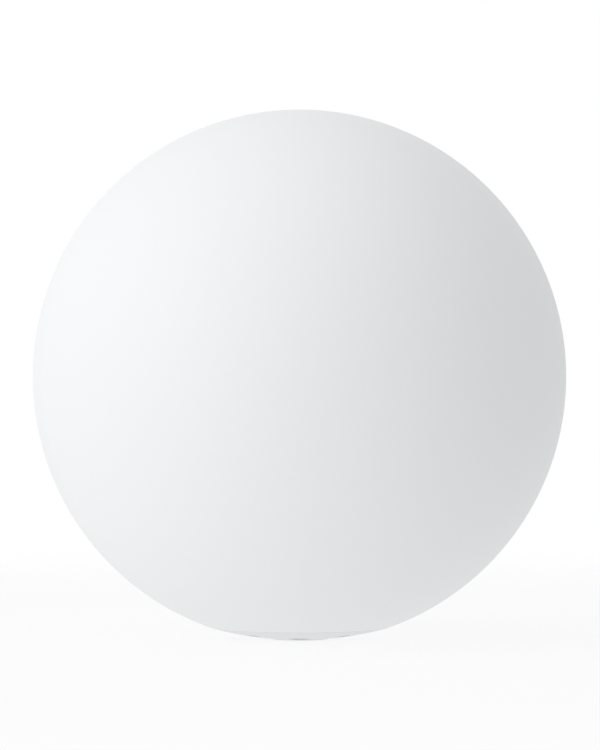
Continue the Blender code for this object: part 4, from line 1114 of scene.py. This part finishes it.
class POOLLIGHT_OT_button(bpy.types.Operator):
    """Make the power button with its raised on-off symbol, and the switch under it"""

    bl_idname = "pool_light.button"
    bl_label = "Power button"

    def execute(self, context):
        s = context.scene.pool_base
        look = silicone(s.rubber)
        radius = radius_of("power_button")
        face, top = span("power_button")
        cap_top = face + 2.5 * MM
        lip = 4.3 * MM
        stem = 3.0 * MM
        flat = face + 0.12 * MM
        points = [(0, top, 0), (stem, top, 0.2 * MM), (lip, top - 0.35 * MM, 0.15 * MM),
                  (lip, top - 0.7 * MM, 0.1 * MM), (stem, top - 0.7 * MM, 0.1 * MM),
                  (stem, cap_top, 0.15 * MM), (radius, cap_top, 0.3 * MM),
                  (radius, face + 0.75 * MM, 0.9 * MM), (radius * 0.78, flat + 0.18 * MM, 0.3 * MM),
                  (radius * 0.72, flat + 0.5 * MM, 0.25 * MM), (radius * 0.66, flat + 0.5 * MM, 0.25 * MM),
                  (radius * 0.60, flat + 0.02 * MM, 0.3 * MM), (0, flat, 0)]
        cap = lathe("button_cap", points, look, 112, 5)
        dress(cap, "button", "grey_silicone", "power_button")
        pale = white_plastic(s)
        sweep = [math.radians(38 + 284 * i / 40) for i in range(41)]
        lines = [[(2.35 * MM * math.sin(a), 2.35 * MM * math.cos(a), flat) for a in sweep],
                 [(0, 2.9 * MM, flat), (0, 1.8 * MM, flat), (0, 0.7 * MM, flat)]]
        strokes = [round_wire("line", line, 0.36 * MM, pale, 12) for line in lines]
        dress(merged("button_symbol", strokes, pale), "button", "white_plastic")
        self.switch()
        return {"FINISHED"}

    def switch(self):
        """The board's push switch over the button: case, steel face, legs and plunger."""
        wide = radius_of("switch_plunger")
        tip, end = span("switch_plunger")
        points = [(0, end, 0), (wide, end, 0.15 * MM), (wide, tip + 0.5 * MM, 0.2 * MM),
                  (wide * 0.8, tip, 0.2 * MM), (0, tip, 0)]
        dress(lathe("plunger", points, nickel_plate(), 48), "button", "nickel", "switch_plunger")
        side = 2 * radius_of("tact_switch")
        face, back = span("tact_switch")
        plate = 0.3 * MM
        case = box("switch_case", (side, side, back - face - plate), (0, 0, (back + face + plate) / 2),
                   black_plastic(), bevel=0.25 * MM)
        cover = box("switch_face", (side * 0.96, side * 0.96, plate + 0.1 * MM), (0, 0, face + plate / 2),
                    drawn_steel(), bevel=0.08 * MM)
        for item in (case, cover):
            bore = rod("bore", wide + GAP, (0, 0, face - THROUGH), (0, 0, end + TRAVEL_ROOM))
            combine(item, [bore], "DIFFERENCE")
        dress(case, "base", "black_plastic", "tact_switch")
        dress(cover, "base", "stainless_steel")
        leg = box("leg", (0.4 * MM, 0.8 * MM, 1.4 * MM), (0, 0, -0.7 * MM), bevel=0.08 * MM)
        spots = [Vector((x * (side / 2 + 0.1 * MM), y * side * 0.36, back + 0.25 * MM))
                 for x in (1, -1) for y in (1, -1)]
        dress(copies("switch_legs", spots, [0.0] * 4, leg, nickel_plate()), "base", "nickel")


HINGE_Y = 43.5 * MM         # flap's hinge and port's middle in the CAD
PORT_Y = 34.0 * MM


class POOLLIGHT_OT_port(bpy.types.Operator):
    """Make the charging port's flap, strap and jack"""

    bl_idname = "pool_light.port"
    bl_label = "Charging port"

    def execute(self, context):
        s = context.scene.pool_base
        look = silicone(s.rubber)
        centre = spot_of("charge_jack")
        bottom, tip = span("port_flap")
        radius = radius_of("port_flap")
        top = bottom + 1.8 * MM
        points = [(0, top, 0), (1.35 * MM, top, 0.1 * MM), (1.35 * MM, tip, 0.15 * MM),
                  (1.9 * MM, tip, 0.15 * MM), (2.3 * MM, top, 0.2 * MM), (radius, top, 0.3 * MM),
                  (radius, bottom, 0.5 * MM),
                  (radius - 1.5 * MM, bottom, 0.3 * MM), (radius - 1.8 * MM, bottom + 0.35 * MM, 0.3 * MM),
                  (0, bottom + 0.35 * MM, 0)]
        disc = lathe("disc", points, look, 128, 5)
        disc.data.transform(Matrix.Translation(centre))
        hinge_y = HINGE_Y + centre.y - PORT_Y
        bead = 0.9 * MM
        hinge_z = top - bead
        strap_start = centre.y + radius / 2
        strap = box("strap", (6.0 * MM, hinge_y - strap_start, bead * 1.2),
                    (0, (hinge_y + strap_start) / 2, hinge_z + bead * 0.2), look, bevel=0.2 * MM)
        pin = rod("bead", bead, (-3 * MM, hinge_y, hinge_z), (3 * MM, hinge_y, hinge_z), look, 32)
        edge_y = centre.y - radius
        ribs = [round_wire("rib", [(x, edge_y + y, bottom + 0.35 * MM) for y in (2.6 * MM, 4.4 * MM)],
                           0.28 * MM, look, 12) for x in (-2.4 * MM, -1.2 * MM, 0, 1.2 * MM, 2.4 * MM)]
        bolt = [(0.5, 2.6), (-1.3, -0.3), (-0.1, -0.3), (-0.5, -2.6), (1.3, 0.4), (0.1, 0.4)]
        mark = slab("flap_symbol", [(x * MM, centre.y + (y + 0.8) * MM) for x, y in bolt], bottom + 0.12 * MM,
                    bottom + 0.5 * MM, white_plastic(s))
        dress(mark, "flap", "white_plastic")
        flap = merged("flap", [disc, strap, pin] + ribs, look)
        dress(flap, "flap", "grey_silicone", "port_flap")

        black = black_plastic()
        bottom, top = span("charge_jack")
        shoulder = bottom + 2.2 * MM
        middle = at(centre, (top + shoulder) / 2)
        body = box("body", (8 * MM, 8 * MM, top - shoulder), middle, black, 0.25 * MM)
        combine(body, [upright("nose", 3.9 * MM, centre, bottom, shoulder + MM, 64, black)], "UNION")
        bore = upright("bore", 2.75 * MM, centre, bottom - THROUGH, top - 0.6 * MM, 64)
        combine(body, [bore], "DIFFERENCE")
        body.name = "jack"
        dress(body, "base", "black_plastic", "charge_jack")
        bottom, top = span("jack_pin")
        points = [(0, top, 0), (1.0 * MM, top, 0.1 * MM), (1.0 * MM, bottom, 0.5 * MM), (0, bottom, 0)]
        pin = lathe("pin", points, nickel_plate(), 40, 6)
        pin.data.transform(Matrix.Translation(centre))
        dress(pin, "base", "nickel", "jack_pin")
        return {"FINISHED"}


class POOLLIGHT_OT_bail(bpy.types.Operator):
    """Make the wire bail folded into its groove"""

    bl_idname = "pool_light.bail"
    bl_label = "Hanging bail"

    def execute(self, context):
        bottom, top = span("hang_ring")
        thick = top - bottom
        height = (top + bottom) / 2
        radius = -low("hang_ring").y - thick / 2
        end = high("hang_ring").x
        bend = 1.8 * MM
        offset = math.degrees(bend / radius)
        half = arc((0, 0), radius, 180 + offset, 360 - offset, 96)
        right = arc((radius + bend, -bend), bend, 180, 90, 10)
        left = [(-x, y) for x, y in reversed(right)]
        path = [(-end, 0), *left, *half[1:-1], *right, (end, 0)]
        bail = round_wire("bail", [(x, y, height) for x, y in path], thick / 2 - 0.01 * MM, drawn_steel(), 24)
        dress(bail, "bail", "stainless_steel", "hang_ring")
        return {"FINISHED"}


DOME_WALL = 2.2 * MM


class POOLLIGHT_OT_dome(bpy.types.Operator):
    """Make the frosted dome over the LEDs"""

    bl_idname = "pool_light.dome"
    bl_label = "Diffuser dome"

    def execute(self, context):
        outer = radius_of("diffuser_dome")
        flange_low = high("dome_seal").z + GAP
        flange_top = flange_low + 2 * MM
        skirt = outer - 2.8 * MM
        inner = skirt - DOME_WALL
        bottom, top = span("diffuser_dome")
        tall = top - flange_top
        rows = 40
        angles = [math.pi / 2 * i / rows for i in range(rows)]
        points = [(skirt * math.sin(a), flange_top + tall * math.cos(a), 0) for a in angles]
        points += [(skirt, flange_top, 1.0 * MM), (outer, flange_top, 0.4 * MM),
                   (outer, flange_low, 0.2 * MM), (skirt, flange_low, 0.2 * MM),
                   (skirt, bottom, 0.3 * MM), (inner, bottom, 0.3 * MM)]
        points += [(inner * math.cos(a), flange_top + (tall - DOME_WALL) * math.sin(a), 0) for a in angles]
        points.append((0, flange_top + tall - DOME_WALL, 0))
        dome = lathe("dome", points, frosted_dome(), 160)
        dress(dome, "base", "frosted_plastic", "diffuser_dome")
        return {"FINISHED"}


class POOLLIGHT_OT_lamp_board(bpy.types.Operator):
    """Make the LED board with its LEDs, resistors and receiver"""

    bl_idname = "pool_light.lamp_board"
    bl_label = "LED board"

    def execute(self, context):
        white = board_white()
        bottom, top = span("led_board")
        radius = radius_of("led_board")
        points = [(0, top, 0), (radius, top, 0.12 * MM), (radius, bottom, 0.12 * MM), (0, bottom, 0)]
        board = lathe("lamp_board", points, white, 128, 2)
        holes = [upright("hole", SMALL_HOLE, spot, bottom - THROUGH, top + THROUGH, 24)
                 for spot in spots_of("led_board_screw", 3)]
        combine(board, holes, "DIFFERENCE")
        dress(board, "base", "white_board", "led_board")

        nodes = numbered("led", 8)
        spots = [spot_of(node) for node in nodes]
        turns = [math.atan2(spot.y, spot.x) for spot in spots]
        floor, tip = span("led_1")
        height = tip - floor
        case = box("case", (5 * MM, 5 * MM, height * 0.92), (0, 0, height * 0.46), bevel=0.25 * MM)
        dish = rod("dish", 1.9 * MM, (0, 0, height * 0.5), (0, 0, height * 2), segments=40)
        combine(case, [dish], "DIFFERENCE")
        cases = copies("lamp_cases", [at(spot, floor) for spot in spots], turns, case, white)
        dress(cases, "base", "white_board", *nodes)
        gel = lathe("gel", [(0, height * 0.95, 0), (1.5 * MM, height * 0.9, 0.4 * MM),
                            (1.88 * MM, height * 0.82, 0.1 * MM), (1.88 * MM, height * 0.52, 0),
                            (0, height * 0.52, 0)], phosphor(), 32)
        gels = copies("lamp_phosphor", [at(spot, floor) for spot in spots], turns, gel, phosphor())
        dress(gels, "base", "led_phosphor")
        pad = box("pad", (0.9 * MM, 0.5 * MM, 0.25 * MM), (0, 0, 0.13 * MM), bevel=0.05 * MM)
        corners = [Vector((step * MM, side * 2.7 * MM, 0)) for side in (1, -1) for step in (-1.6, 0, 1.6)]
        places = [(spot + Matrix.Rotation(turn, 3, "Z") @ corner + Vector((0, 0, floor)), turn)
                  for spot, turn in zip(spots, turns) for corner in corners]
        pads = copies("lamp_pads", *zip(*places), pad, nickel_plate())
        dress(pads, "base", "nickel")
        chip = box("chip", (3.2 * MM, 1.6 * MM, 0.55 * MM), (0, 0, 0.28 * MM), bevel=0.06 * MM)
        chip_spots = [polar(15.5 * MM, math.degrees(turn), top) for turn in turns]
        across = [turn + math.pi / 2 for turn in turns]
        chips = copies("lamp_resistors", chip_spots, across, chip, black_plastic())
        dress(chips, "base", "black_plastic")

        bottom, top = span("remote_receiver")
        wide = radius_of("remote_receiver")
        crown = [math.radians(a) for a in range(8, 90, 8)]
        points = [(0, top, 0), *[(wide * math.sin(a), top - wide + wide * math.cos(a), 0) for a in crown],
                  (wide, top - wide, 0), (wide, bottom, 0.1 * MM), (0, bottom, 0)]
        eye = lathe("receiver", points, black_plastic(), 64, 3)
        dress(eye, "base", "black_plastic", "remote_receiver")
        return {"FINISHED"}


class POOLLIGHT_OT_control_board(bpy.types.Operator):
    """Finish the control board and put its parts on it"""

    bl_idname = "pool_light.control_board"
    bl_label = "Control board"

    def execute(self, context):
        repaint("control_board", circuit_green())
        black = black_plastic()
        top = high("control_board").z
        chips = [box("chip", (wide * MM, deep * MM, tall * MM), (x * MM, y * MM, top + rise * MM), black,
                     0.15 * MM) for wide, deep, tall, x, y, rise in (
                         (9, 7, 1.4, -9, 4, 0.9), (6, 5, 1.2, 10, 9, 0.8), (5, 4, 1.2, 11, -9, 0.8))]
        chips = merged("board_chips", chips, black)
        dress(chips, "base", "black_plastic")
        leg = box("leg", (0.45 * MM, 1.3 * MM, 0.5 * MM), (0, 0, 0.25 * MM), bevel=0.08 * MM)
        spots = [Vector((-9 * MM + (i - 3) * 1.2 * MM, 4 * MM + side * 4.0 * MM, top))
                 for i in range(7) for side in (1, -1)]
        spots += [Vector((10 * MM + (i - 1.5) * 1.2 * MM, 9 * MM + side * 3.0 * MM, top))
                  for i in range(4) for side in (1, -1)]
        legs = copies("board_legs", spots, [0.0] * len(spots), leg, nickel_plate())
        dress(legs, "base", "nickel")
        profile = [(0, 5.4, 0), (2.9, 5.4, 0.3), (3.1, 1.2, 0.2), (2.9, 0.9, 0.1), (3.1, 0.6, 0.2),
                   (3.1, 0.1, 0), (0, 0.1, 0)]
        can = lathe("can", [(r * MM, z * MM, edge * MM) for r, z, edge in profile], zinc_plate(), 48, 3)
        spots = [Vector((-17 * MM, -13 * MM, top)), Vector((-24 * MM, -7 * MM, top))]
        cans = copies("board_capacitors", spots, [0.4, 1.9], can, zinc_plate())
        dress(cans, "base", "zinc_plate")
        return {"FINISHED"}


def lead_route(node, thread):
    """A lead's way up from the control board, past the cells, to its battery tab or to the LED board."""
    foot = low(node).z
    over = high("ballast_ring").z
    beside = low("led_lead").y + LEAD_RADIUS
    level = sum(span("battery_cell_1")) / 2
    if node == "led_lead":
        bulge = 1.0 * MM
        x = high(node).x - LEAD_RADIUS - 2 * bulge
        top = high(node).z
        return [(0, beside, foot), (0, beside, foot + 5.7 * MM), (x, beside, over),
                (x + 2 * bulge, beside + bulge, level), (x, beside, top - 3.7 * MM), (x, beside, top)]
    side = 1 if low(node).x > 0 else -1
    jog = 2.0 * MM
    end = high("battery_cell_1").x
    wall = radius_of("threaded_cup") - thread.depth - CUP_WALL - 3 * GAP - LEAD_RADIUS
    corner = math.degrees(math.atan2(high("battery_cell_1").y, end))
    tab_x = high("battery_tab_1").x
    tab_y = -spot_of("battery_cell_1").y - jog
    along = [(4 * MM, -beside, foot), (4 * MM, -beside, foot + 5.7 * MM), (5 * MM, -beside, over),
             (9 * MM, -beside, level - 3 * MM), (end - 14.5 * MM, -beside, level)]
    along += [(x, -y, level) for x, y in arc((0, 0), wall, corner + 5, corner - 6, 2)]
    along += [(tab_x + jog, tab_y - jog / 2, level), (tab_x, tab_y, level)]
    return [(side * x, y, z) for x, y, z in along]


class POOLLIGHT_OT_battery(bpy.types.Operator):
    """Make the cells and leads, and finish their cradle, strap and tabs"""

    bl_idname = "pool_light.battery"
    bl_label = "Battery"

    def execute(self, context):
        look = sleeve("cell_wrap", (0.05, 0.13, 0.33))
        for number in (1, 2):
            node = "battery_cell_%d" % number
            centre = at(spot_of(node), sum(span(node)) / 2)
            half = high(node).x
            radius = (high(node).y - low(node).y) / 2
            points = [(0, half, 0), (2.9 * MM, half, 0.3 * MM), (2.9 * MM, half - 1.0 * MM, 0.2 * MM),
                      (6.5 * MM, half - 1.0 * MM, 0.2 * MM), (6.9 * MM, half - 0.5 * MM, 0.2 * MM),
                      (radius, half - 0.6 * MM, 0.7 * MM), (radius, half - 3.4 * MM, 0.3 * MM),
                      (radius - 0.25 * MM, half - 3.9 * MM, 0.3 * MM), (radius, half - 4.4 * MM, 0.3 * MM),
                      (radius, -half + 0.3 * MM, 0.8 * MM), (radius - 2 * MM, -half, 0.3 * MM), (0, -half, 0)]
            cell = lathe("cell_%d" % number, points, look, 96)
            cell.data.transform(Matrix.Translation(centre) @ Matrix.Rotation(math.pi / 2, 4, "Y"))
            dress(cell, "base", "cell_wrap", node)
        black = black_plastic()
        for node in ("battery_cradle", "battery_strap"):
            repaint(node, black)
        for node in ("battery_tab_1", "battery_tab_2"):
            self.tab(node)
        for node, slot, skin, colour in (
                ("battery_lead_plus", "red_wire", "red_wire", (0.55, 0.03, 0.02)),
                ("battery_lead_minus", "black_plastic", "black_wire", (0.02, 0.02, 0.02)),
                ("led_lead", "grey_wire", "grey_wire", (0.30, 0.31, 0.32))):
            route = smooth(lead_route(node, context.scene.pool_thread), 1.2 * MM)
            lead = round_wire("insulated_" + node, route, LEAD_RADIUS, wire_skin(skin, colour))
            dress(lead, "base", slot, node)
        return {"FINISHED"}

    def tab(self, node):
        """A nickel strip across two cells' ends, with its spot welds."""
        size = high(node) - low(node)
        middle = (high(node) + low(node)) / 2
        outline = rounded_box(size.y, size.z, 1.6 * MM)
        strip = slab("nickel_" + node, outline, -size.x / 2, size.x / 2, nickel_plate())
        proud = size.x / 2 + 0.06 * MM
        cell_y = spot_of("battery_cell_1").y
        welds = [rod("weld", 0.45 * MM, (x, y, -proud), (x, y, proud), segments=20)
                 for cell in (-cell_y, cell_y) for x in (cell - 1.5 * MM, cell + 1.5 * MM) for y in (-MM, MM)]
        combine(strip, welds, "UNION")
        facing = Matrix(((0, 0, 1, 0), (1, 0, 0, 0), (0, 1, 0, 0), (0, 0, 0, 1)))
        strip.data.transform(Matrix.Translation(middle) @ facing)
        dress(strip, "base", "nickel", node)


BALLAST_HOLE = 24 * MM      # radius of its open middle


class POOLLIGHT_OT_ballast(bpy.types.Operator):
    """Make the zinc-plated ballast ring"""

    bl_idname = "pool_light.ballast"
    bl_label = "Ballast ring"

    def execute(self, context):
        bottom, top = span("ballast_ring")
        outer = radius_of("ballast_ring")
        plate = ring("ballast", BALLAST_HOLE, outer, (bottom, top), 0.6 * MM, zinc_plate())
        sizes = (("ballast_screw", 4, SCREW_HOLE), ("cradle_screw", 2, SMALL_HOLE))
        holes = [upright("hole", radius, spot, bottom - THROUGH, top + THROUGH, 24)
                 for name, count, radius in sizes for spot in spots_of(name, count)]
        combine(plate, holes, "DIFFERENCE")
        dress(plate, "base", "zinc_plate", "ballast_ring")
        return {"FINISHED"}


def area_light(name, place, aim, size, power):
    """A soft square lamp that faces its aim."""
    lamp = bpy.data.lights.new(name, "AREA")
    lamp.size = size
    lamp.energy = power
    item = link(bpy.data.objects.new(name, lamp))
    item.location = place
    item.rotation_euler = (Vector(aim) - Vector(place)).to_track_quat("-Z", "Y").to_euler()
    return item


FRAME_WIDTH = 600           # pixels
FRAME_HEIGHT = 750


class POOLLIGHT_OT_stage(bpy.types.Operator):
    """Set the pale floor, the soft lights and the camera"""

    bl_idname = "pool_light.stage"
    bl_label = "Stage"

    def execute(self, context):
        s = context.scene.pool_stage
        centre = Vector((0, 0, context.scene.pool_globe.centre_z))
        radius = context.scene.pool_globe.radius
        scene = context.scene
        scene.view_settings.view_transform = "Standard"

        world = bpy.data.worlds.new("soft_white")
        scene.world = world
        world.use_nodes = True
        world.cycles.sampling_method = "NONE"
        air = Wiring(world.node_tree)
        back = world.node_tree.nodes["Background"]
        back.inputs["Color"].default_value = (1, 1, 1, 1)
        rays = air.node("ShaderNodeLightPath")
        seen = seen_white(air, rays)
        place = air.node("ShaderNodeTexCoord")
        slope = air.node("ShaderNodeVectorMath", operation="DOT_PRODUCT")
        slope.inputs[1].default_value = s.slope
        air.join(place.outputs["Generated"], slope.inputs[0])
        soft = air.math("ADD", slope.outputs["Value"], s.ambient)
        hidden = air.math("SUBTRACT", 1.0, seen)
        air.join(air.math("ADD", seen, air.math("MULTIPLY", hidden, soft)), back.inputs["Strength"])

        floor = piece("floor", bpy.data.meshes.new("floor"))
        form = bmesh.new()
        bmesh.ops.create_circle(form, cap_ends=True, segments=96, radius=s.floor_radius)
        form.to_mesh(floor.data)
        form.free()
        floor.data.materials.append(pale_floor(s.floor_colour, s.floor_radius, s.floor_glow))

        for name, place, size, power in (("front", (-1.4, -1.7, 0.6), 1.6, s.front),
                                         ("key", (-1.87, -0.51, 1.06), 0.8, s.key),
                                         ("top", (-0.3, -0.2, 2.0), 1.6, s.top)):
            area_light(name, centre + Vector(place), centre, size, power)

        camera = bpy.data.cameras.new("camera")
        eye = link(bpy.data.objects.new("camera", camera))
        camera.sensor_fit = "HORIZONTAL"
        camera.sensor_width = 36
        focal_pixels = s.globe_pixels / math.tan(math.asin(radius / s.distance))
        camera.lens = focal_pixels * camera.sensor_width / FRAME_WIDTH
        camera.clip_start = 0.01
        camera.clip_end = 200
        pixel = s.distance / focal_pixels
        eye.location = centre + Vector(((FRAME_WIDTH / 2 - s.centre_x) * pixel, -s.distance,
                                        (s.centre_y - FRAME_HEIGHT / 2) * pixel))
        eye.rotation_euler = (math.pi / 2, 0, 0)
        scene.camera = eye
        return {"FINISHED"}


class POOLLIGHT_PT_panel(bpy.types.Panel):
    """Lists the pieces and their sizes"""

    bl_label = "Pool Light"
    bl_idname = "POOLLIGHT_PT_panel"
    bl_space_type = "VIEW_3D"
    bl_region_type = "UI"
    bl_category = "Pool Light"

    def draw(self, context):
        for operator in OPERATORS:
            self.layout.operator(operator.bl_idname)
        for name in SETTINGS:
            group = getattr(context.scene, name)
            section = self.layout.box()
            for key in group.__annotations__:
                section.prop(group, key)


OPERATORS = (
    POOLLIGHT_OT_globe, POOLLIGHT_OT_seals, POOLLIGHT_OT_cover, POOLLIGHT_OT_cup, POOLLIGHT_OT_screws,
    POOLLIGHT_OT_button, POOLLIGHT_OT_port, POOLLIGHT_OT_bail, POOLLIGHT_OT_dome, POOLLIGHT_OT_lamp_board,
    POOLLIGHT_OT_control_board, POOLLIGHT_OT_battery, POOLLIGHT_OT_ballast, POOLLIGHT_OT_stage)
SETTINGS = {"pool_globe": GlobeSettings, "pool_thread": ThreadSettings, "pool_base": BaseSettings,
            "pool_stage": StageSettings}


def register():
    for group in SETTINGS.values():
        bpy.utils.register_class(group)
    for name, group in SETTINGS.items():
        setattr(bpy.types.Scene, name, PointerProperty(type=group))
    for operator in OPERATORS:
        bpy.utils.register_class(operator)
    bpy.utils.register_class(POOLLIGHT_PT_panel)


def unregister():
    bpy.utils.unregister_class(POOLLIGHT_PT_panel)
    for operator in reversed(OPERATORS):
        bpy.utils.unregister_class(operator)
    for name in SETTINGS:
        delattr(bpy.types.Scene, name)
    for group in SETTINGS.values():
        bpy.utils.unregister_class(group)


def main():
    register()
    for operator in OPERATORS:
        group, name = operator.bl_idname.split(".")
        getattr(getattr(bpy.ops, group), name)()


if __name__ == "__main__":
    main()
